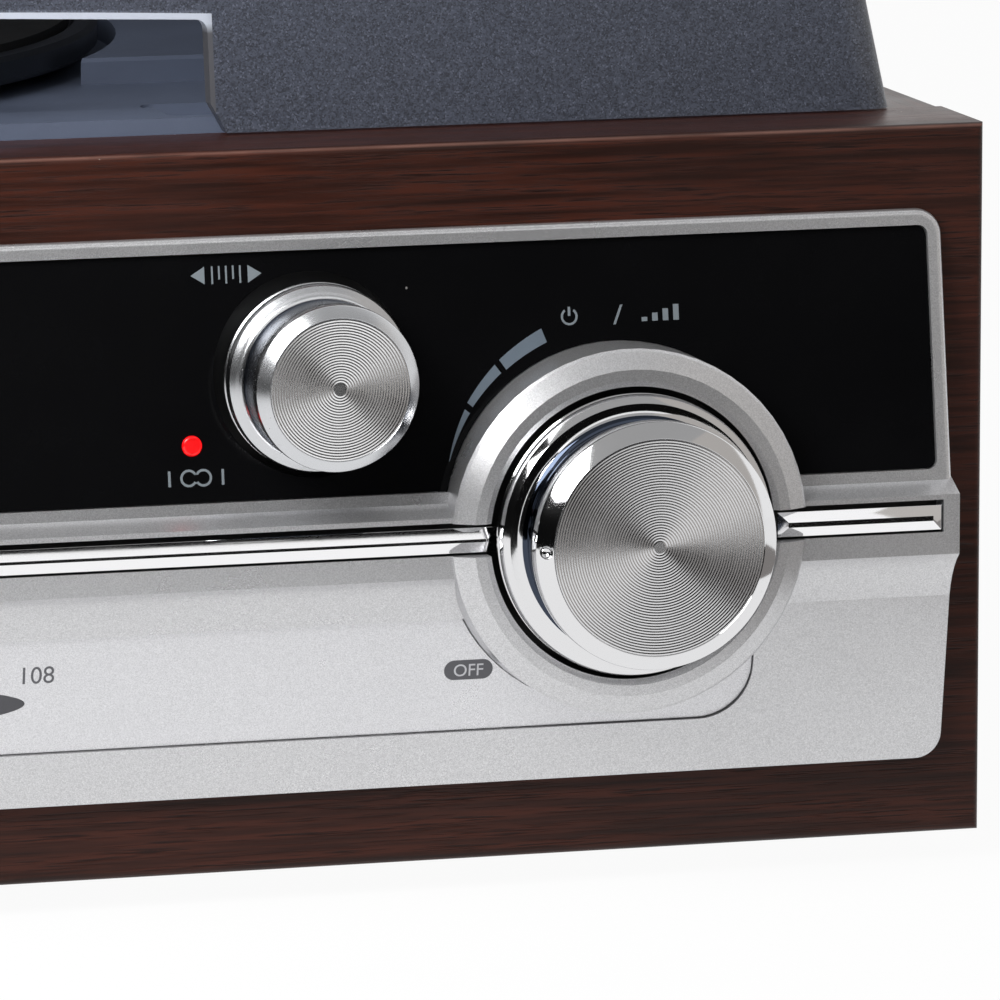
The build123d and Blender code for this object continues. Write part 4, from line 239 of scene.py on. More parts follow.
def blank(name: str, **sockets) -> tuple:
    """Starts a material with a Principled shader.

    Args:
        name: the material's name.
        sockets: plain values for the shader's own sockets, with _ for each space.

    Returns:
        The material, its tree and the shader node.
    """
    material = bpy.data.materials.new(name + "_finish")
    material.use_nodes = True
    tree = material.node_tree
    shader = tree.nodes["Principled BSDF"]
    for label, value in sockets.items():
        socket = shader.inputs[label.replace("_", " ")]
        socket.default_value = (*value, 1.0) if socket.type == "RGBA" else value
    return material, tree, shader


def emboss(tree: bpy.types.NodeTree, shader: bpy.types.Node, height, depth: float) -> None:
    """Leads a height into the shader's Normal through a Bump node; depth in millimetres."""
    bump = wire(tree, "Bump", {"Height": height, "Strength": 1.0, "Distance": depth * MM})
    tree.links.new(bump.outputs["Normal"], shader.inputs["Normal"])


# ---------------------------------------------------------------- finishes


DUST_ON_WOOD = srgb(200, 190, 180)
DUST_ON_PLASTIC = srgb(170, 168, 165)
# Painted shade for the inside of the knobs' cups and the belt's slot.
SHADE_IN_CUPS = srgb(14, 14, 15)
SLATE_NECK = srgb(62, 69, 82)


class GrainWay(Enum):
    """Which way a board's grain runs: the turn that brings it onto X."""

    ACROSS = (0.0, 0.0, 0.0)
    DEPTH = (0.0, 0.0, math.pi / 2)


@dataclass(frozen=True)
class WoodFinish:
    """Walnut-grained foil or bare board.

    Args:
        name: the material's name.
        light: colour between the pores.
        dark: colour of the bands.
        pore: colour of the pores.
        way: which way the grain runs.
        gloss: roughness of the surface.
        pores: how strongly the pores show.
        worn_edge: whether a painted highlight runs along the upper front edge.
        level: specular level of the foil.
        rubbed: colour of the painted highlight on that edge.
        edge_front: y where the painted highlight begins, millimetres.
        edge_top: height where the painted highlight begins, millimetres.
        edge_soft: width over which it fades, millimetres.
    """

    name: str
    light: Colour
    dark: Colour
    pore: Colour
    way: GrainWay
    gloss: float = 0.36
    pores: float = 0.8
    worn_edge: bool = False
    level: float = 0.22
    rubbed: Colour = srgb(118, 84, 74)
    edge_front: float = -153.3
    edge_top: float = 116.3
    edge_soft: float = 0.4

    def material(self) -> bpy.types.Material:
        """Builds the material."""
        material, tree, shader = blank(self.name, Specular_IOR_Level=self.level)
        vector = wire(tree, "Mapping", {"Vector": wire(tree, "TexCoord").outputs["Object"],
                                        "Rotation": self.way.value}).outputs["Vector"]
        wood = effect(tree, Effects.grain(), vector, Pores=self.pores)
        marks = effect(tree, Effects.wear(), vector, Dust=0.25)
        colour = tint(tree, spread(tree, wood.outputs["Band"], 0.40, 0.60), self.dark, self.light)
        colour = tint(tree, wood.outputs["Pore"], colour, self.pore)
        # Painted highlight: a paler line along the upper front arris, where the foil's edge catches the
        # light.
        if self.worn_edge:
            part = wire(tree, "SeparateXYZ", {"Vector": vector})
            ahead = spread(tree, part.outputs["Y"], (self.edge_front - self.edge_soft) * MM,
                           self.edge_front * MM, 1.0, 0.0)
            above = spread(tree, part.outputs["Z"], self.edge_top * MM,
                           (self.edge_top + self.edge_soft) * MM)
            share = sums(tree, "MULTIPLY", sums(tree, "MULTIPLY", ahead, above),
                         spread(tree, noise(tree, vector, 60.0, 3.0), 0.35, 0.6, 0.35, 0.9))
            colour = tint(tree, share, colour, self.rubbed)
        colour = tint(tree, sums(tree, "MULTIPLY", marks.outputs["Speck"], 0.6), colour, DUST_ON_WOOD)
        rough = spread(tree, marks.outputs["Smear"], 0.3, 0.7, self.gloss - 0.06, self.gloss + 0.08)
        tree.links.new(colour, shader.inputs["Base Color"])
        tree.links.new(rough, shader.inputs["Roughness"])
        emboss(tree, shader, wood.outputs["Height"], 0.05)
        return material


@dataclass(frozen=True)
class Cup:
    """A round place about an axis along Y, in millimetres, such as a knob's cup, where shade is painted
    into the silver paint, and a knob's neck, which is slate-coloured.
    """

    x: float
    z: float
    radius: float


def within(tree: bpy.types.NodeTree, cups: tuple[Cup, ...], front: float,
           back: float) -> bpy.types.NodeSocket:
    """Returns 1 inside any of the round places, between two depths along Y in millimetres."""
    mask = None
    for cup in cups:
        part = wire(tree, "SeparateXYZ", {"Vector": placed(tree, centre=(cup.x, 0.0, cup.z))})
        flat = wire(tree, "CombineXYZ", {"X": part.outputs["X"], "Z": part.outputs["Z"]}).outputs[0]
        reach = wire(tree, "VectorMath", {0: flat}, operation="LENGTH").outputs["Value"]
        inside = sums(tree, "LESS_THAN", reach, cup.radius * MM)
        mask = inside if mask is None else sums(tree, "MAXIMUM", mask, inside)
    between = sums(tree, "MULTIPLY", sums(tree, "GREATER_THAN", part.outputs["Y"], front * MM),
                   sums(tree, "LESS_THAN", part.outputs["Y"], back * MM))
    return sums(tree, "MULTIPLY", mask, between)


@dataclass(frozen=True)
class MicaPaint:
    """Silver paint with mica flakes on moulded plastic, with painted glints on a few flakes and painted
    shade inside the knobs' cups and the belt's slot.

    Args:
        name: the material's name.
        colour: the paint's middle colour.
        gloss: roughness of the paint.
        metal: how metallic it is.
        flake: size of a flake, millimetres.
        depth: depth of the flakes' relief, millimetres.
        cups: the knobs' cups, where shade is painted; where they are given, shade is painted in the belt's
            slot too.
        slot_middle: height of the slot's middle, millimetres.
        slot_half: half the slot's height, millimetres.
        slot_front: y of its front edge, millimetres.
        slot_reach: how far it runs to each side, millimetres.
    """

    name: str
    colour: Colour
    gloss: float = 0.36
    metal: float = 0.85
    flake: float = 0.12
    depth: float = 0.010
    cups: tuple[Cup, ...] = ()
    slot_middle: float = 57.35
    slot_half: float = 2.57
    slot_front: float = -165.1
    slot_reach: float = 212.3

    def slot_mask(self, tree: bpy.types.NodeTree) -> bpy.types.NodeSocket:
        """Returns 1 on the walls and floor of the belt's slot, where shade is painted."""
        part = wire(tree, "SeparateXYZ", {"Vector": placed(tree)})
        level = sums(tree, "ABSOLUTE", sums(tree, "SUBTRACT", part.outputs["Z"], self.slot_middle * MM))
        inside = sums(tree, "LESS_THAN", level, self.slot_half * MM)
        behind = sums(tree, "GREATER_THAN", part.outputs["Y"], self.slot_front * MM)
        along = sums(tree, "LESS_THAN", sums(tree, "ABSOLUTE", part.outputs["X"]), self.slot_reach * MM)
        return sums(tree, "MULTIPLY", sums(tree, "MULTIPLY", inside, behind), along)

    def material(self) -> bpy.types.Material:
        """Builds the material."""
        material, tree, shader = blank(self.name)
        vector = placed(tree)
        flakes = effect(tree, Effects.mica(), vector, Flake=self.flake)
        marks = effect(tree, Effects.wear(), vector, Dust=0.3)
        darker = tuple(c * 0.80 for c in self.colour)
        brighter = tuple(min(1.0, c * 1.14) for c in self.colour)
        # Painted glint: a few flakes get a brighter colour.
        spark = tuple(min(1.0, c * 1.7) for c in self.colour)
        colour = tint(tree, flakes.outputs["Tone"], darker, brighter)
        colour = tint(tree, sums(tree, "MULTIPLY", flakes.outputs["Glint"], 0.35), colour, spark)
        colour = tint(tree, sums(tree, "MULTIPLY", marks.outputs["Smear"], 0.10), colour, darker)
        rough = spread(tree, marks.outputs["Smear"], 0.3, 0.7, self.gloss - 0.02, self.gloss + 0.03)
        metal = spread(tree, flakes.outputs["Tone"], 0.0, 1.0, self.metal - 0.08, self.metal)
        # Painted shade: inside the knobs' cups and the belt's slot the paint is coloured near black and
        # loses its metal.
        if self.cups:
            mask = sums(tree, "MAXIMUM", within(tree, self.cups, -300.0, 0.0), self.slot_mask(tree))
            colour = tint(tree, mask, colour, SHADE_IN_CUPS)
            metal = sums(tree, "MULTIPLY", metal, sums(tree, "SUBTRACT", 1.0, mask))
        tree.links.new(colour, shader.inputs["Base Color"])
        tree.links.new(rough, shader.inputs["Roughness"])
        tree.links.new(metal, shader.inputs["Metallic"])
        emboss(tree, shader, flakes.outputs["Height"], self.depth)
        return material


@dataclass(frozen=True)
class Plating:
    """Polished or satin metal, slate-coloured on the necks of knobs.

    Args:
        name: the material's name.
        colour: the metal's colour.
        gloss: its roughness.
        scratches: how strongly hair scratches show.
        ripple: depth of an uneven surface, millimetres.
        necks: the knobs' necks.
        front: y of the necks' front, millimetres.
        back: y of the necks' back, millimetres.
    """

    name: str
    colour: Colour
    gloss: float = 0.08
    scratches: float = 0.5
    ripple: float = 0.0
    necks: tuple[Cup, ...] = ()
    front: float = 0.0
    back: float = 0.0

    def material(self) -> bpy.types.Material:
        """Builds the material."""
        material, tree, shader = blank(self.name, Metallic=1.0)
        vector = placed(tree)
        marks = effect(tree, Effects.wear(), vector, Dust=0.2)
        dull = tuple(c * 0.82 for c in self.colour)
        mark = sums(tree, "MULTIPLY", marks.outputs["Scratch"], self.scratches)
        colour = tint(tree, sums(tree, "MULTIPLY", mark, 0.5), self.colour, dull)
        if self.necks:
            colour = tint(tree, within(tree, self.necks, self.front, self.back), colour, SLATE_NECK)
        smear = spread(tree, marks.outputs["Smear"], 0.3, 0.7, self.gloss * 0.7, self.gloss * 1.4)
        rough = sums(tree, "ADD", smear, sums(tree, "MULTIPLY", mark, 0.15))
        tree.links.new(colour, shader.inputs["Base Color"])
        tree.links.new(rough, shader.inputs["Roughness"])
        emboss(tree, shader, noise(tree, vector, 250.0, 3.0), 0.0015 + self.ripple)
        return material


@dataclass(frozen=True)
class Moulding:
    """Moulded plastic, rubber, paper or board with a fine surface grain.

    Args:
        name: the material's name.
        colour: its colour.
        gloss: its roughness.
        grain: size of the surface grain, millimetres.
        depth: depth of the surface grain, millimetres.
        level: specular level.
        dust: how much dust lies on it.
    """

    name: str
    colour: Colour
    gloss: float = 0.5
    grain: float = 0.3
    depth: float = 0.02
    level: float = 0.5
    dust: float = 0.3

    def material(self) -> bpy.types.Material:
        """Builds the material."""
        material, tree, shader = blank(self.name, Specular_IOR_Level=self.level)
        vector = placed(tree)
        skin = effect(tree, Effects.mica(), vector, Flake=self.grain)
        marks = effect(tree, Effects.wear(), vector, Dust=self.dust)
        other = tuple(min(1.0, c * 1.25) for c in self.colour)
        colour = tint(tree, spread(tree, marks.outputs["Smear"], 0.35, 0.7), self.colour, other)
        colour = tint(tree, sums(tree, "MULTIPLY", marks.outputs["Speck"], 0.5), colour, DUST_ON_PLASTIC)
        rough = spread(tree, marks.outputs["Smear"], 0.3, 0.7, self.gloss - 0.05, self.gloss + 0.07)
        tree.links.new(colour, shader.inputs["Base Color"])
        tree.links.new(rough, shader.inputs["Roughness"])
        emboss(tree, shader, skin.outputs["Height"], self.depth)
        return material


@dataclass(frozen=True)
class HazyCover:
    """Smoked plastic with a fine frosted sparkle, partly relief and partly painted glints, and a painted
    highlight on the cut edges round the front notch.

    Args:
        name: the material's name.
        colour: the plastic's own colour.
        edge: colour of the painted highlight on the notch's top cut edge.
        clear: how much light passes through.
        body: share of the light that the plastic scatters; lamps shine through the rest.
        side: colour of the fainter painted edge light on the notch's upright edges.
        gloss: roughness of the surface.
        half: half the notch's width, millimetres.
        top: height of the notch's upper corners, millimetres.
        crown: rise of the notch's edge at its middle, millimetres.
        wall_back: y behind which nothing belongs to the notch, millimetres.
    """

    name: str
    colour: Colour
    edge: Colour
    clear: float = 0.30
    body: float = 0.90
    side: Colour = srgb(88, 88, 92)
    gloss: float = 0.36
    half: float = 103.2
    top: float = 134.6
    crown: float = 2.2
    wall_back: float = -120.0

    def edge_mask(self, tree: bpy.types.NodeTree) -> bpy.types.NodeSocket:
        """Returns 1 on the notch's cut edge, where the edge light is painted."""
        part = wire(tree, "SeparateXYZ", {"Vector": wire(tree, "TexCoord").outputs["Object"]})
        aside = sums(tree, "ABSOLUTE", part.outputs["X"])
        share = sums(tree, "DIVIDE", part.outputs["X"], self.half * MM)
        drop = sums(tree, "MULTIPLY", sums(tree, "MULTIPLY", share, share), self.crown * MM)
        arch = sums(tree, "SUBTRACT", (self.top + self.crown + 0.95) * MM, drop)
        under = sums(tree, "LESS_THAN", part.outputs["Z"], arch)
        between = sums(tree, "LESS_THAN", aside, (self.half + 0.8) * MM)
        front = sums(tree, "LESS_THAN", part.outputs["Y"], self.wall_back * MM)
        return sums(tree, "MULTIPLY", sums(tree, "MULTIPLY", under, between), front)

    def material(self) -> bpy.types.Material:
        """Builds the material."""
        material, tree, shader = blank(self.name, IOR=1.49, Transmission_Weight=self.clear)
        vector = placed(tree)
        flakes = effect(tree, Effects.mica(), vector, Flake=0.24)
        marks = effect(tree, Effects.wear(), vector, Dust=0.6)
        darker = tuple(c * 0.40 for c in self.colour)
        lighter = tuple(c * 1.60 for c in self.colour)
        # Painted glint: a few flakes get a brighter colour.
        spark = tuple(min(1.0, c * 2.6 + 0.02) for c in self.colour)
        colour = tint(tree, flakes.outputs["Tone"], darker, lighter)
        colour = tint(tree, sums(tree, "MULTIPLY", flakes.outputs["Glint"], 0.8), colour, spark)
        # Painted highlight: the notch's top cut edge is painted pale and its upright edges a fainter grey,
        # as light along the edge.
        height = wire(tree, "SeparateXYZ", {"Vector": vector}).outputs["Z"]
        edge = tint(tree, spread(tree, height, 0.1325, 0.1340), self.side, self.edge)
        colour = tint(tree, self.edge_mask(tree), colour, edge)
        path = wire(tree, "LightPath")
        shining = sums(tree, "MAXIMUM", path.outputs["Is Shadow Ray"], path.outputs["Is Diffuse Ray"])
        tree.links.new(spread(tree, shining, 0.0, 1.0, self.body, 0.30), shader.inputs["Alpha"])
        rough = spread(tree, marks.outputs["Smear"], 0.3, 0.7, self.gloss - 0.03, self.gloss + 0.05)
        tree.links.new(colour, shader.inputs["Base Color"])
        tree.links.new(rough, shader.inputs["Roughness"])
        emboss(tree, shader, flakes.outputs["Height"], 0.02)
        return material


@dataclass(frozen=True)
class Glow:
    """A lit lamp lens."""

    name: str
    colour: Colour
    strength: float = 1.2

    def material(self) -> bpy.types.Material:
        """Builds the material."""
        material, tree, shader = blank(self.name, Roughness=0.2, Emission_Strength=self.strength)
        cloud = noise(tree, placed(tree), 900.0, 2.0)
        deep = tuple(c * 0.6 for c in self.colour)
        colour = tint(tree, spread(tree, cloud, 0.4, 0.6), deep, self.colour)
        tree.links.new(colour, shader.inputs["Base Color"])
        tree.links.new(colour, shader.inputs["Emission Color"])
        return material


# ---------------------------------------------------------------- studio


@dataclass(frozen=True)
class Card:
    """A flat studio card that only shine sees.

    Args:
        name: its name.
        azimuth: direction from the front, degrees, to the right.
        low: height of its lower edge, millimetres.
        high: height of its upper edge, millimetres.
        span: its width in degrees of azimuth.
        reach: distance from the front of the cabinet, millimetres.
        colour: its colour.
        level: height at which it lies flat, as deep as it would be high, with its far edge at reach.
    """

    name: str
    azimuth: float
    low: float
    high: float
    span: float
    reach: float
    colour: Colour
    level: float | None = None

    def build(self, hub: Vector) -> None:
        """Stands the card up around the hub, or lays it flat."""
        bench.clear()
        lying = self.level is not None
        half = self.reach * math.tan(math.radians(self.span / 2)) * MM
        bpy.ops.mesh.primitive_plane_add(size=1.0)
        card = bpy.context.object
        card.name = self.name
        card.scale = (half * 2, (self.high - self.low) * MM, 1.0)
        turn = math.radians(self.azimuth)
        out = Vector((math.sin(turn), -math.cos(turn), 0.0))
        tall = self.high - self.low
        card.rotation_euler = (0.0 if lying else math.pi / 2, 0.0, turn)
        middle = hub + out * (self.reach - (tall / 2 if lying else 0.0)) * MM
        card.location = (middle.x, middle.y, (self.level if lying else (self.low + self.high) / 2) * MM)
        bpy.ops.object.transform_apply(location=True, rotation=True, scale=True)
        material = bpy.data.materials.new(self.name)
        material.use_nodes = True
        tree = material.node_tree
        tree.nodes.clear()
        glow = wire(tree, "Emission", {"Color": self.colour, "Strength": 1.0})
        tree.links.new(glow.outputs[0], wire(tree, "OutputMaterial").inputs["Surface"])
        card.data.materials.append(material)
        card.visible_camera = card.visible_diffuse = card.visible_shadow = card.visible_transmission = False


@dataclass
class Studio:
    """Floor, world, lamps, cards and camera."""

    floor_size: float = 6.0
    day: float = 0.37
    floor_colour: Colour = (0.80, 0.80, 0.80)

    def seen(self, tree: bpy.types.NodeTree) -> bpy.types.NodeSocket:
        """Returns 1 for rays that show the backdrop: seen straight, in a shine or through glass."""
        path = wire(tree, "LightPath")
        both = sums(tree, "MAXIMUM", path.outputs["Is Camera Ray"], path.outputs["Is Glossy Ray"])
        return sums(tree, "MAXIMUM", both, path.outputs["Is Transmission Ray"])

    def world(self) -> None:
        """A white backdrop over an even, plain sky light."""
        world = bpy.data.worlds.new("studio_world")
        world.use_nodes = True
        bpy.context.scene.world = world
        tree = world.node_tree
        sky = tree.nodes["Background"]
        level = spread(tree, self.seen(tree), 0.0, 1.0, self.day, 1.0)
        tree.links.new(level, sky.inputs["Strength"])
        sky.inputs["Color"].default_value = (1.0, 1.0, 1.0, 1.0)

    def floor(self) -> None:
        """A plain pale floor that stays white where nothing shades it."""
        bench.clear()
        bpy.ops.mesh.primitive_plane_add(size=self.floor_size)
        floor = bpy.context.object
        floor.name = "studio_floor"
        material = bpy.data.materials.new("studio_floor")
        material.use_nodes = True
        tree = material.node_tree
        tree.nodes.clear()
        matt = wire(tree, "BsdfDiffuse", {"Color": self.floor_colour})
        pale = wire(tree, "Emission", {"Color": (1.0, 1.0, 1.0), "Strength": 1.0})
        share = sums(tree, "MULTIPLY", self.seen(tree), 0.95)
        mix = wire(tree, "MixShader", {0: share, 1: matt.outputs[0], 2: pale.outputs[0]})
        tree.links.new(mix.outputs[0], wire(tree, "OutputMaterial").inputs["Surface"])
        floor.data.materials.append(material)

    def lamp(self, name: str, azimuth: float, elevation: float, reach: float, size: float, power: float,
             hub: Colour = (0.1, -0.1, 0.05)) -> None:
        """Hangs a square softbox and points it at the cabinet.

        Args:
            name: its name.
            azimuth: direction from the front, degrees, to the right.
            elevation: height of the direction, degrees.
            reach: distance in metres.
            size: side in metres.
            power: watts.
            hub: the place that it points at, metres.
        """
        data = bpy.data.lights.new(name, "AREA")
        data.shape = "SQUARE"
        data.size = size
        data.energy = power
        lamp = bpy.data.objects.new(name, data)
        bpy.context.scene.collection.objects.link(lamp)
        turn, lift = math.radians(azimuth), math.radians(elevation)
        way = Vector((math.sin(turn) * math.cos(lift), -math.cos(turn) * math.cos(lift), math.sin(lift)))
        lamp.location = way * reach + Vector(hub)
        lamp.rotation_euler = way.to_track_quat("Z", "Y").to_euler()

    def camera(self) -> None:
        """The camera, level with the front and a little to the left."""
        data = bpy.data.cameras.new("camera")
        data.lens = 354.2
        data.sensor_width = 36.0
        data.clip_start = 0.01
        data.dof.use_dof = False
        camera = bpy.data.objects.new("camera", data)
        bpy.context.scene.collection.objects.link(camera)
        camera.location = (-0.2737, -1.5899, 0.31175)
        camera.rotation_euler = (math.radians(80.488), 0.0, math.radians(-16.222))
        bpy.context.scene.camera = camera

    def build(self) -> None:
        """Sets the whole studio up."""
        self.world()
        self.floor()
        hub = Vector((0.16, -0.15, 0.0))
        for card in (
            Card("card_left", -66.0, 0.0, 437.0, 84.0, 450.0, (0.004, 0.004, 0.004)),
            Card("card_front", 4.0, 0.0, 225.0, 51.0, 300.0, (0.004, 0.004, 0.004)),
            Card("card_right", 56.0, 0.0, 420.0, 52.0, 340.0, srgb(186, 182, 178)),
            Card("card_floor", 56.0, 0.0, 210.0, 50.0, 340.0, srgb(136, 132, 130), 0.5),
            Card("card_top", 0.0, 0.0, 620.0, 80.0, 700.0, srgb(168, 168, 168), 620.0),
        ):
            card.build(hub)
        self.lamp("softbox_key", -38.0, 50.0, 1.25, 0.9, 4.0)
        self.lamp("softbox_fill", 55.0, 35.0, 2.0, 1.2, 3.0)
        self.lamp("softbox_near", -22.0, 36.0, 0.30, 0.26, 2.0, (-0.06, -0.136, 0.15))
        scene = bpy.context.scene
        scene.view_settings.view_transform = "Standard"
        self.camera()
        log.info("studio: floor, world, five cards, three softboxes and the camera")


class Bench:
    """The work bench: selection, turning and finishing steps that every made piece goes through."""

    def clear(self) -> None:
        """Deselects everything, in object mode."""
        if bpy.context.object and bpy.context.object.mode != "OBJECT":
            bpy.ops.object.mode_set(mode="OBJECT")
        bpy.ops.object.select_all(action="DESELECT")

    def turn(self, name: str, outline: list[tuple[float, float]], x: float, z: float,
             steps: int = 128) -> bpy.types.Object:
        """Turns an outline about an axis along Y.

        Args:
            name: the piece's name.
            outline: (radius, y) points in millimetres, from the axis in front round to the axis behind.
            x: the axis's place, millimetres.
            z: the axis's height, millimetres.
            steps: how many steps make the round.

        Returns:
            The turned piece, with its place in its mesh.
        """
        self.clear()
        first = Vector((x + outline[0][0], outline[0][1], z)) * MM
        bpy.ops.mesh.primitive_plane_add(size=0.01, location=first)
        piece = bpy.context.object
        piece.name = name
        bpy.ops.object.transform_apply(location=True)
        bpy.ops.object.mode_set(mode="EDIT")
        bpy.ops.mesh.merge(type="CENTER")
        for (radius, y), (next_radius, next_y) in zip(outline, outline[1:]):
            step = ((next_radius - radius) * MM, (next_y - y) * MM, 0.0)
            bpy.ops.mesh.extrude_region_move(TRANSFORM_OT_translate={"value": step})
        bpy.ops.mesh.select_all(action="SELECT")
        bpy.ops.mesh.spin(steps=steps, angle=math.tau, center=(x * MM, 0.0, z * MM), axis=(0, 1, 0))
        bpy.ops.mesh.select_all(action="SELECT")
        bpy.ops.mesh.remove_doubles(threshold=1e-6)
        bpy.ops.mesh.normals_make_consistent(inside=False)
        bpy.ops.object.mode_set(mode="OBJECT")
        return piece

    def finish(self, piece: bpy.types.Object, finish: "Plating | Moulding", body: str, angle: float,
               *nodes: str) -> None:
        """Smooths a piece, gives it its finish and fixes it to its body.

        Args:
            piece: the piece.
            finish: its finish.
            body: the body that it moves with.
            angle: edges sharper than this many degrees stay sharp.
            nodes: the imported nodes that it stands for.
        """
        self.clear()
        piece.select_set(True)
        bpy.context.view_layer.objects.active = piece
        bpy.ops.object.shade_smooth_by_angle(angle=math.radians(angle))
        piece.data.materials.clear()
        piece.data.materials.append(stock(finish))
        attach(piece, body)
        if nodes:
            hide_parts(*nodes)
        log.info("made %s on %s", piece.name, body)


bench = Bench()


def stock(finish) -> bpy.types.Material:
    """Returns a finish's material, building it the first time."""
    return bpy.data.materials.get(finish.name + "_finish") or finish.material()


# ---------------------------------------------------------------- dressing of the imported nodes


# The front's last True paints the highlight along its upper front arris.
WALNUT = WoodFinish("walnut_front", srgb(62, 30, 21), srgb(36, 18, 13), srgb(20, 10, 8), GrainWay.ACROSS,
                    0.36, 0.85, True)
WALNUT_SIDE = WoodFinish("walnut_side", srgb(62, 30, 21), srgb(36, 18, 13), srgb(20, 10, 8), GrainWay.DEPTH)
RAW = WoodFinish("raw_board", srgb(168, 138, 104), srgb(140, 110, 80), srgb(96, 72, 50), GrainWay.ACROSS,
                 0.75, 0.4)
# The knobs' cups, inside which shade is painted into the silver paint.
CUPS = (Cup(161.4, 57.4, 22.75), Cup(-161.4, 57.4, 22.75), Cup(113.1, 82.7, 18.5), Cup(-113.1, 82.7, 18.5))
SILVER = MicaPaint("silver_paint", srgb(208, 208, 210), 0.28, cups=CUPS)
SILVER_PLATE = MicaPaint("silver_plate", srgb(218, 218, 221), 0.29, 0.8, 0.10, 0.004)
BLACK_WINDOW = Moulding("black_window", srgb(9, 9, 10), 0.05, 0.2, 0.0002, 0.12, 0.1)
# Its third colour is the painted highlight on the notch's top cut edge.
SMOKE = HazyCover("smoked_cover", srgb(66, 70, 82), srgb(196, 202, 214))
DARK_LENS = Moulding("dark_lens", srgb(62, 62, 66), 0.16, 0.2, 0.001, 0.5)
RED_LENS = Glow("red_lamp", srgb(226, 10, 14), 0.9)
CHROME = Plating("chrome_trim", (0.90, 0.90, 0.91), 0.05)
KNOB_CHROME = Plating("knob_chrome", (0.76, 0.76, 0.77), 0.07, front=-177.5, back=-171.4,
                      necks=(Cup(161.4, 57.4, 19.0), Cup(-161.4, 57.4, 19.0)))
SATIN_CHROME = Plating("satin_chrome", (0.66, 0.67, 0.69), 0.22, front=-170.6, back=-164.0,
                       necks=(Cup(113.1, 82.7, 12.9), Cup(-113.1, 82.7, 12.9)))
TURNED_FACE = Plating("turned_face", (0.74, 0.74, 0.75), 0.22, 0.2)
SMALL_FACE = Plating("small_turned_face", (0.90, 0.90, 0.91), 0.22, 0.2)
STEEL = Plating("bright_steel", (0.56, 0.56, 0.57), 0.25)
ZINC = Plating("zinc_steel", (0.50, 0.51, 0.52), 0.38, 0.6, 0.01)
ARM_METAL = Plating("arm_metal", (0.70, 0.70, 0.71), 0.18)
BRASS = Plating("brass", (0.68, 0.52, 0.26), 0.25)
CAST = MicaPaint("cast_platter", srgb(34, 37, 43), 0.38, 0.5, 0.3, 0.02)
RED_PAINT = Moulding("pointer_red", srgb(190, 40, 30), 0.35)
BLACK_PLASTIC = Moulding("black_plastic", srgb(26, 27, 29), 0.42)
GREY_PLASTIC = Moulding("grey_plastic", srgb(92, 94, 98), 0.48)
DECK_PLASTIC = Moulding("deck_plastic", srgb(84, 92, 110), 0.42, 0.3, 0.015)
RUBBER = Moulding("black_rubber", srgb(20, 20, 21), 0.72, 0.5, 0.05, 0.3)
CORD = Moulding("cord_fibre", srgb(196, 190, 172), 0.8, 0.3, 0.05)
BOARD = Moulding("board_green", srgb(52, 92, 62), 0.5)
IRON = Moulding("iron_core", srgb(70, 66, 64), 0.55, 0.5, 0.05)
PAPER = Moulding("paper_cone", srgb(44, 42, 40), 0.85, 0.5, 0.08, 0.2)
GREY_INK = Moulding("grey_ink", srgb(106, 113, 118), 0.5, 0.1, 0.001, 0.4)
WEDGE_INK = Moulding("wedge_ink", srgb(86, 96, 106), 0.5, 0.1, 0.001, 0.4)
DARK_INK = Moulding("dark_ink", srgb(84, 84, 88), 0.5, 0.1, 0.001, 0.4)
PALE_INK = Moulding("pale_ink", srgb(186, 186, 190), 0.5, 0.1, 0.001, 0.4)

DRESS = {
    WALNUT: ("front_board",),
    WALNUT_SIDE: ("side_board_left", "side_board_right"),
    RAW: ("rear_panel", "bottom_board", "deck_battens"),
    SILVER: ("front_fascia",),
    SILVER_PLATE: ("dial_plate",),
    BLACK_WINDOW: ("display_window",),
    SMOKE: ("dust_cover",),
    DARK_LENS: ("dial_lens",),
    RED_LENS: ("stereo_led",),
    CHROME: ("spindle", "lift_bar", "belt_bars"),
    KNOB_CHROME: ("volume_knob", "function_knob"),
    SATIN_CHROME: ("tone_knob", "tuning_knob"),
    TURNED_FACE: ("volume_knob_disc", "function_knob_disc"),
    SMALL_FACE: ("tone_knob_disc", "tuning_knob_disc"),
    STEEL: ("volume_shaft", "function_shaft", "tone_shaft", "tuning_shaft", "hinge_pins"),
    ZINC: ("control_bracket", "hinge_brackets", "hinge_arms", "case_screws", "speaker_frames", "motor",
           "tuning_capacitor", "line_jacks"),
    ARM_METAL: ("tonearm_tube", "tonearm_yoke", "counterweight"),
    BRASS: ("motor_pulley",),
    CAST: ("platter",),
    RED_PAINT: ("dial_pointer",),
    BLACK_PLASTIC: ("tonearm_base", "arm_rest", "arm_clip", "cartridge", "cue_lever", "speed_selector",
                    "function_switch", "cord_gland", "dial_drum"),
    GREY_PLASTIC: ("rotary_pots",),
    DECK_PLASTIC: ("turntable_deck",),
    RUBBER: ("slip_mat", "rubber_feet", "drive_belt"),
    CORD: ("dial_cord",),
    BOARD: ("circuit_board",),
    IRON: ("transformer",),
    PAPER: ("speaker_cones",),
}


class Dresser:
    """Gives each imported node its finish."""

    def dress(self, node: str, material: bpy.types.Material) -> None:
        """Puts a material into every slot of one node."""
        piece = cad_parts[node]
        if not piece.material_slots:
            piece.data.materials.append(material)
        for slot in piece.material_slots:
            slot.material = material

    def build(self) -> None:
        """Dresses all nodes and reports those left bare."""
        left = set(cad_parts)
        for finish, nodes in DRESS.items():
            material = stock(finish)
            for node in nodes:
                self.dress(node, material)
                left.discard(node)
            log.info("%s: %s", finish.name, ", ".join(nodes))
        if left:
            log.warning("without a finish: %s", sorted(left))


# ---------------------------------------------------------------- knobs


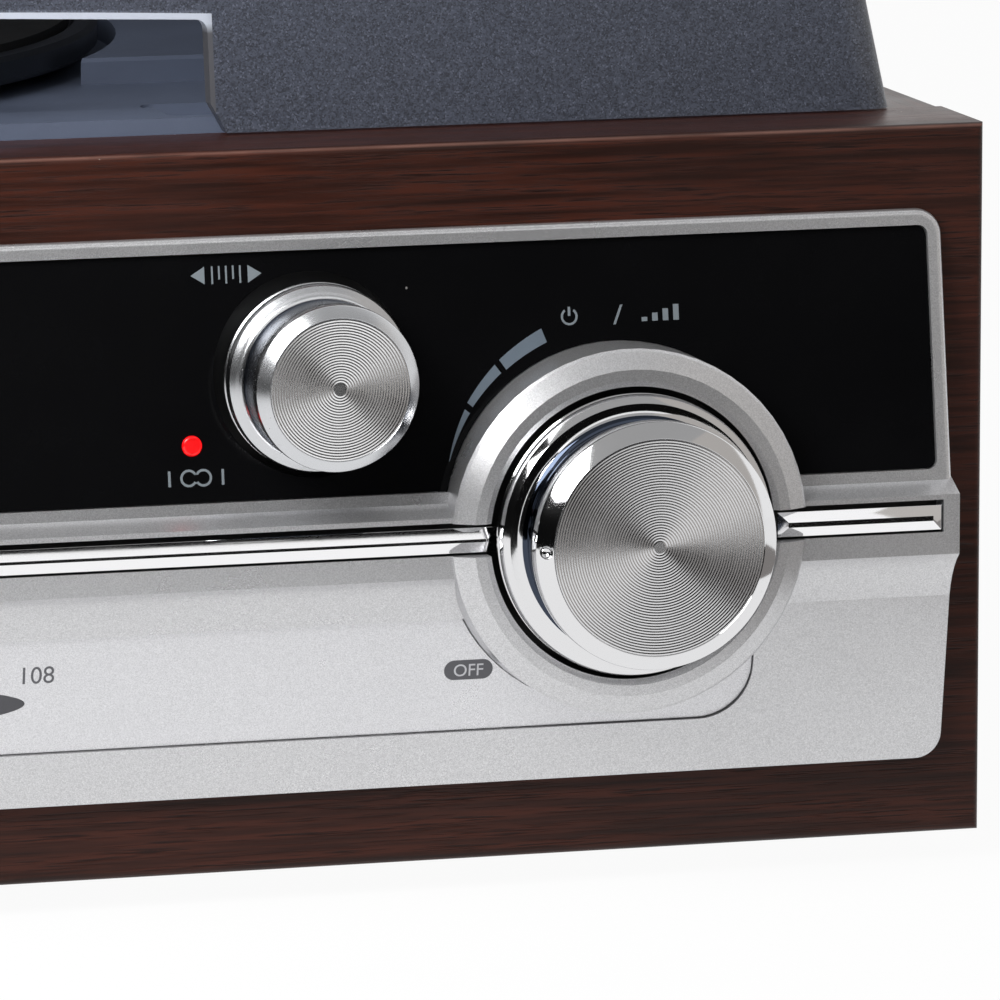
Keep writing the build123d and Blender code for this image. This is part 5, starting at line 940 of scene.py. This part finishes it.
@dataclass
class Knob:
    """A chromed knob: rounded body with a skirt, and a turned face with real rings.

    Args:
        part: the knob's name, which starts the names of its nodes.
        disc: radius of the turned face.
        rim: radius of the rim behind its bevel.
        neck: radius of the neck.
        skirt: radius of the skirt.
        bevel: how far the rim lies behind the face.
        skirt_back: how far the skirt's front lies behind the face.
        pitch: distance between the rings.
        lean: degrees that the rings' flanks lean.
        dimple: radius of the setting mark in the bevel, or nothing.
        bore: radius of the hole for the shaft.
    """

    part: str
    disc: float
    rim: float
    neck: float
    skirt: float
    bevel: float
    skirt_back: float
    pitch: float = 0.42
    lean: float = 12.5
    dimple: float = 0.0
    bore: float = 3.05

    def place(self) -> tuple[float, float, float, float]:
        """Returns the axis's x and z, and the y of the face and of the foot, millimetres."""
        low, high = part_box(self.part + "_knob")
        return ((low.x + high.x) / 2 / MM, (low.z + high.z) / 2 / MM, low.y / MM, high.y / MM)

    def body_outline(self, face: float, foot: float) -> list[tuple[float, float]]:
        """Returns the body's outline: seat of the face, bevel, rim, neck, cove, grooved skirt and foot."""
        rim_back = face + self.bevel + 2.2
        skirt = face + self.skirt_back
        outline = [(0.0, face + 1.0), (self.disc, face + 1.0), (self.disc, face + 0.12),
                   (self.disc + 0.12, face)]
        outline += [(self.rim - 0.22, face + self.bevel - 0.15),
                    (self.rim - 0.06, face + self.bevel + 0.02),
                    (self.rim, face + self.bevel + 0.25), (self.rim, rim_back - 0.15),
                    (self.rim - 0.15, rim_back), (self.neck + 0.1, rim_back + 0.15)]
        outline += [(self.neck, rim_back + 0.4), (self.neck, skirt - 2.2)]
        cove = self.skirt - 1.2 - self.neck
        for step in range(1, 7):
            turn = math.radians(15 * step)
            outline.append((self.neck + cove * (1 - math.cos(turn)), skirt - 2.2 + 2.0 * math.sin(turn)))
        outline += [(self.skirt - 0.9, skirt), (self.skirt - 0.25, skirt + 0.35),
                    (self.skirt, skirt + 1.0), (self.skirt, skirt + 1.7),
                    (self.skirt - 0.35, skirt + 2.0), (self.skirt - 0.35, skirt + 2.4),
                    (self.skirt, skirt + 2.7), (self.skirt, skirt + 3.2),
                    (self.skirt - 0.2, skirt + 3.4), (self.neck, skirt + 3.4)]
        return outline + [(self.neck, foot - 0.3), (self.neck - 0.3, foot), (self.bore, foot),
                          (self.bore, face + 5.0), (0.0, face + 5.0)]

    def face_outline(self, face: float) -> list[tuple[float, float]]:
        """Returns the face's outline: V rings out to the rim, and the back."""
        deep = 0.5 * self.pitch * math.tan(math.radians(self.lean))
        count = int((self.disc - 0.5) / self.pitch)
        outline = [(0.0, face + 0.02)]
        start = self.disc - 0.05 - count * self.pitch
        for ring in range(count):
            radius = start + ring * self.pitch
            outline += [(radius + 0.5 * self.pitch, face + 0.02),
                        (radius + self.pitch, face + 0.02 + deep)]
        edge = self.disc - 0.03
        return outline + [(edge, face + 0.1), (edge, face + 0.96), (0.0, face + 0.96)]

    def mark(self, body: bpy.types.Object, x: float, z: float, face: float) -> None:
        """Sinks the round setting mark into the bevel, to the left of the axis.

        Args:
            body: the knob's body.
            x: the axis's place, millimetres.
            z: the axis's height, millimetres.
            face: the face's y, millimetres.
        """
        bench.clear()
        middle = Vector((x - (self.disc + self.rim) / 2, face + self.bevel / 2 - 0.35, z)) * MM
        bpy.ops.mesh.primitive_uv_sphere_add(segments=32, ring_count=16, radius=self.dimple * MM,
                                             location=middle)
        ball = bpy.context.object
        bpy.context.view_layer.objects.active = body
        sink = body.modifiers.new("mark", "BOOLEAN")
        sink.operation = "DIFFERENCE"
        sink.object = ball
        sink.solver = "EXACT"
        bpy.ops.object.modifier_apply(modifier=sink.name)
        bpy.data.objects.remove(ball)

    def build(self) -> None:
        """Makes the body and the face and fixes both to what turns with the knob."""
        x, z, face, foot = self.place()
        plating, spun = (KNOB_CHROME, TURNED_FACE) if self.dimple else (SATIN_CHROME, SMALL_FACE)
        body = bench.turn(self.part + "_knob_body", self.body_outline(face, foot), x, z)
        if self.dimple:
            self.mark(body, x, z, face)
        bench.finish(body, plating, self.part, 24.0, self.part + "_knob")
        disc = bench.turn(self.part + "_knob_face", self.face_outline(face), x, z)
        bench.finish(disc, spun, self.part, 5.0, self.part + "_knob_disc")


# ---------------------------------------------------------------- belt bars


@dataclass
class BeltBars:
    """The three chromed bars along the belt, each with a shallow facet along every front edge.

    Args:
        stretches: each bar's left and right end, millimetres.
        low: their lower edge, millimetres.
        high: their upper edge, millimetres.
        front: y of the front face, millimetres.
        back: y of the back, millimetres.
        rise: how far the front face stands in front of the bars' edges, millimetres.
    """

    stretches: tuple[tuple[float, float], ...] = ((-212.1, -185.4), (-140.5, 140.5), (185.4, 212.1))
    low: float = 55.15
    high: float = 59.05
    front: float = -165.9
    back: float = -162.2
    rise: float = 0.75

    def bar(self, left: float, right: float) -> bpy.types.Object:
        """Makes one bar from a block by insetting and lifting its front face."""
        bench.clear()
        shoulder = self.front + self.rise
        middle = Vector((left + right, shoulder + self.back, self.low + self.high)) / 2 * MM
        bpy.ops.mesh.primitive_cube_add(size=1.0, location=middle)
        piece = bpy.context.object
        piece.scale = ((right - left) * MM, (self.back - shoulder) * MM, (self.high - self.low) * MM)
        bpy.ops.object.transform_apply(location=True, rotation=True, scale=True)
        bpy.ops.object.mode_set(mode="EDIT")
        bpy.ops.mesh.select_all(action="DESELECT")
        bpy.ops.object.mode_set(mode="OBJECT")
        for face in piece.data.polygons:
            face.select = face.normal.y < -0.9
        bpy.ops.object.mode_set(mode="EDIT")
        bpy.ops.mesh.select_mode(type="FACE")
        facet = (self.high - self.low) * (0.44 if left < 0 < right else 0.40)
        bpy.ops.mesh.inset(thickness=facet * MM, depth=self.rise * MM)
        bpy.ops.object.mode_set(mode="OBJECT")
        soften = piece.modifiers.new("soften", "BEVEL")
        soften.width = 0.06 * MM
        soften.segments = 2
        bpy.ops.object.modifier_apply(modifier=soften.name)
        return piece

    def build(self) -> None:
        """Makes the three bars one piece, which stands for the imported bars."""
        bars = [self.bar(left, right) for left, right in self.stretches]
        bench.clear()
        for piece in bars:
            piece.select_set(True)
        bpy.context.view_layer.objects.active = bars[0]
        bpy.ops.object.join()
        bars[0].name = "belt_bars_faceted"
        bench.finish(bars[0], CHROME, "cabinet", 12.0, "belt_bars")


# ---------------------------------------------------------------- prints


@dataclass(frozen=True)
class Panel:
    """A leaning printed panel: two heights and how far the panel's frame stands forward at each.

    Args:
        low: lower height, millimetres.
        low_reach: how far forward the frame is there.
        high: upper height, millimetres.
        high_reach: how far forward the frame is there.
        sink: how far the printed face lies behind the frame.
        front: the cabinet's front, millimetres along Y.
    """

    low: float
    low_reach: float
    high: float
    high_reach: float
    sink: float
    front: float = -154.0

    def seat(self, x: float, z: float) -> Matrix:
        """Returns the place of a print: its X to the right, its Y up the panel, its Z outwards."""
        up = Vector((0.0, self.low_reach - self.high_reach, self.high - self.low)).normalized()
        right = Vector((1.0, 0.0, 0.0))
        out = right.cross(up)
        share = (z - self.low) / (self.high - self.low)
        reach = self.low_reach + share * (self.high_reach - self.low_reach)
        origin = (Vector((x, self.front - reach, z)) - out * self.sink) * MM
        turned = Matrix((right, up, out)).transposed().to_4x4()
        return Matrix.Translation(origin) @ turned


WINDOW = Panel(62.4, 7.8, 104.0, 1.4, 0.7)
PLATE = Panel(17.5, 2.4, 44.0, 6.75, 0.6)
Outline = list[tuple[float, float]]


def bar(left: float, low: float, right: float, high: float) -> Outline:
    """Returns an upright box as an outline."""
    return [(left, low), (right, low), (right, high), (left, high)]


def arc_band(x: float, z: float, outer: tuple[float, float], inner: tuple[float, float], start: float,
             end: float, steps: int = 12) -> Outline:
    """Returns a band along an arc whose two radii may taper.

    Args:
        x: middle of the arc.
        z: height of the middle.
        outer: outer radius at the start and at the end.
        inner: inner radius at the start and at the end.
        start: angle of the start, degrees.
        end: angle of the end, degrees.
        steps: how many steps make the arc.

    Returns:
        The closed outline.
    """
    there, back = [], []
    for step in range(steps + 1):
        share = step / steps
        turn = math.radians(start + share * (end - start))
        for radii, side in ((outer, there), (inner, back)):
            radius = radii[0] + share * (radii[1] - radii[0])
            side.append((x + radius * math.cos(turn), z + radius * math.sin(turn)))
    return there + back[::-1]


@dataclass
class Prints:
    """Generic marks and numbers printed on the window and the dial plate.

    Args:
        thick: how thick the ink lies, millimetres.
        body: the body that the prints move with.
        capital: a capital's share of the lettering's size.
        font_drop: half a capital's height, as a share of the lettering's size.
    """

    thick: float = 0.02
    body: str = "cabinet"
    capital: float = 0.72
    font_drop: float = 0.36

    def shapes(self, name: str, panel: Panel, x: float, z: float, outlines: list[Outline],
               ink: Moulding) -> None:
        """Prints filled outlines, given about (x, z), on a panel.

        Args:
            name: the print's name.
            panel: the panel it lies on.
            x: its middle, millimetres.
            z: its height, millimetres.
            outlines: closed outlines in millimetres.
            ink: its finish.
        """
        bench.clear()
        curve = bpy.data.curves.new(name, "CURVE")
        curve.dimensions = "2D"
        curve.fill_mode = "BOTH"
        curve.extrude = self.thick * MM
        for outline in outlines:
            spline = curve.splines.new("POLY")
            spline.points.add(len(outline) - 1)
            for point, (across, up) in zip(spline.points, outline):
                point.co = (across * MM, up * MM, 0.0, 1.0)
            spline.use_cyclic_u = True
        piece = bpy.data.objects.new(name, curve)
        bpy.context.scene.collection.objects.link(piece)
        self.settle(piece, panel.seat(x, z), ink)

    def words(self, name: str, panel: Panel, x: float, z: float, text: str, height: float,
              ink: Moulding, lift: float = 0.0) -> None:
        """Prints generic lettering, centred on (x, z).

        Args:
            name: the print's name.
            panel: the panel it lies on.
            x: its middle, millimetres.
            z: its middle height, millimetres.
            text: the numbers or ON/OFF.
            height: height of a capital, millimetres.
            ink: its finish.
            lift: how far above the panel it lies, for lettering on a printed patch.
        """
        bench.clear()
        bpy.ops.object.text_add()
        piece = bpy.context.object
        piece.name = name
        piece.data.body = text
        size = height / self.capital
        piece.data.size = size * MM
        piece.data.align_x = "CENTER"
        piece.data.extrude = self.thick * MM
        place = panel.seat(x, z) @ Matrix.Translation((0.0, -self.font_drop * size * MM, lift * MM))
        self.settle(piece, place, ink)

    def settle(self, piece: bpy.types.Object, place: Matrix, ink: Moulding) -> None:
        """Makes a print a mesh, lays it in place and inks it."""
        bench.clear()
        piece.select_set(True)
        bpy.context.view_layer.objects.active = piece
        bpy.ops.object.convert(target="MESH")
        piece.data.transform(place)
        bench.finish(piece, ink, self.body, 30.0)

    def power_mark(self) -> None:
        """A power sign, a slash and three rising bars."""
        ring = arc_band(-8.6, 0.0, (1.35, 1.35), (1.0, 1.0), 125, 415, 28)
        outlines = [ring, bar(-8.8, 0.1, -8.4, 1.5),
                    [(-1.6, -1.5), (-1.2, -1.5), (0.0, 1.5), (-0.4, 1.5)]]
        outlines += [bar(3.0 + 1.7 * step, -1.2, 3.9 + 1.7 * step, -0.55 + 0.6 * step) for step in range(4)]
        self.shapes("power_mark", WINDOW, 162.9, 89.85, outlines, GREY_INK)

    def tuning_mark(self) -> None:
        """Two arrow heads between scale ticks."""
        outlines = [[(-5.6, 0.0), (-3.4, 1.35), (-3.4, -1.35)], [(5.6, 0.0), (3.4, -1.35), (3.4, 1.35)]]
        outlines += [bar(step * 1.1 - 0.14, -1.35 if step % 2 == 0 else -0.7, step * 1.1 + 0.14, 1.35)
                     for step in (-2, -1, 0, 1, 2)]
        self.shapes("tuning_mark", WINDOW, 100.2, 98.35, outlines, GREY_INK)

    def stereo_mark(self) -> None:
        """Two rings side by side between short bars."""
        outlines = [bar(-4.4, -1.2, -4.0, 1.2), bar(4.0, -1.2, 4.4, 1.2)]
        outlines += [arc_band(side * 1.15, 0.0, (1.35, 1.35), (0.98, 0.98), start, start + 300, 26)
                     for side, start in ((-1, 30), (1, 210))]
        self.shapes("stereo_mark", WINDOW, 94.15, 68.0, outlines, GREY_INK)

    def volume_wedge(self) -> None:
        """The three tapering lengths of arc beside the volume knob."""
        outlines = [arc_band(0.0, 0.0, (33.3, 32.5), (31.0, 30.6), 110.5, 124.9),
                    arc_band(0.0, 0.0, (32.35, 31.4), (30.7, 30.3), 126.7, 139.7),
                    arc_band(0.0, 0.0, (31.1, 29.55), (30.1, 29.45), 141.6, 157.2)]
        self.shapes("volume_wedge", WINDOW, 161.4, 57.4, outlines, WEDGE_INK)

    def tone_wedge(self) -> None:
        """Two tapering arcs beside the tone knob."""
        outlines = [arc_band(0.0, 0.0, (19.6, 19.0), (18.2, 18.2), 60, 20),
                    arc_band(0.0, 0.0, (19.6, 19.0), (18.2, 18.2), 120, 160)]
        self.shapes("tone_wedge", WINDOW, -113.1, 82.7, outlines, WEDGE_INK)

    def off_patch(self) -> None:
        """The OFF patch beside the volume knob."""
        half, end = 2.3, 1.6
        outline = [(half + end * math.cos(turn), end * math.sin(turn))
                   for turn in (math.radians(-90 + 15 * step) for step in range(13))]
        outline += [(-a, -b) for a, b in outline]
        self.shapes("off_patch", PLATE, 137.6, 35.7, [outline], DARK_INK)
        self.words("off_word", PLATE, 137.6, 35.7, "OFF", 2.0, PALE_INK, 0.03)

    def scale(self) -> None:
        """The dial's numbers and ticks, and the positions of the left knob."""
        self.words("dial_high", PLATE, 69.2, 38.5, "108", 2.8, DARK_INK)
        self.words("dial_low", PLATE, -69.2, 38.5, "88", 2.8, DARK_INK)
        for step, number in enumerate(("92", "96", "100", "104")):
            self.words("dial_number_" + number, PLATE, -30.0 + 20.0 * step, 41.2, number, 1.6, DARK_INK)
        ticks = [bar(-50.2 + 5.0 * step, 0.0, -49.8 + 5.0 * step, 1.2 if step % 2 else 0.7)
                 for step in range(21)]
        self.shapes("dial_ticks", PLATE, 0.0, 39.3, ticks, DARK_INK)
        reach = 32.0
        for number, turn in enumerate((150, 120, 90, 60), start=1):
            across, up = reach * math.cos(math.radians(turn)), reach * math.sin(math.radians(turn))
            self.words(f"function_number_{number}", WINDOW, -161.4 + across, 57.4 + up, str(number), 2.6,
                       GREY_INK)

    def build(self) -> None:
        """Makes all the prints."""
        for step in (self.power_mark, self.tuning_mark, self.stereo_mark, self.volume_wedge,
                     self.tone_wedge, self.off_patch, self.scale):
            step()


def main() -> None:
    """Builds the studio and the parts in order."""
    logging.basicConfig(level=logging.INFO, format="%(message)s")
    Studio().build()
    Dresser().build()
    for part in ("volume", "function"):
        Knob(part, 16.7, 19.2, 17.9, 21.8, 1.7, 10.8, dimple=1.1).build()
    for part in ("tuning", "tone"):
        Knob(part, 10.9, 12.8, 12.2, 14.5, 1.4, 11.3).build()
    BeltBars().build()
    Prints().build()


if __name__ == "__main__":
    main()
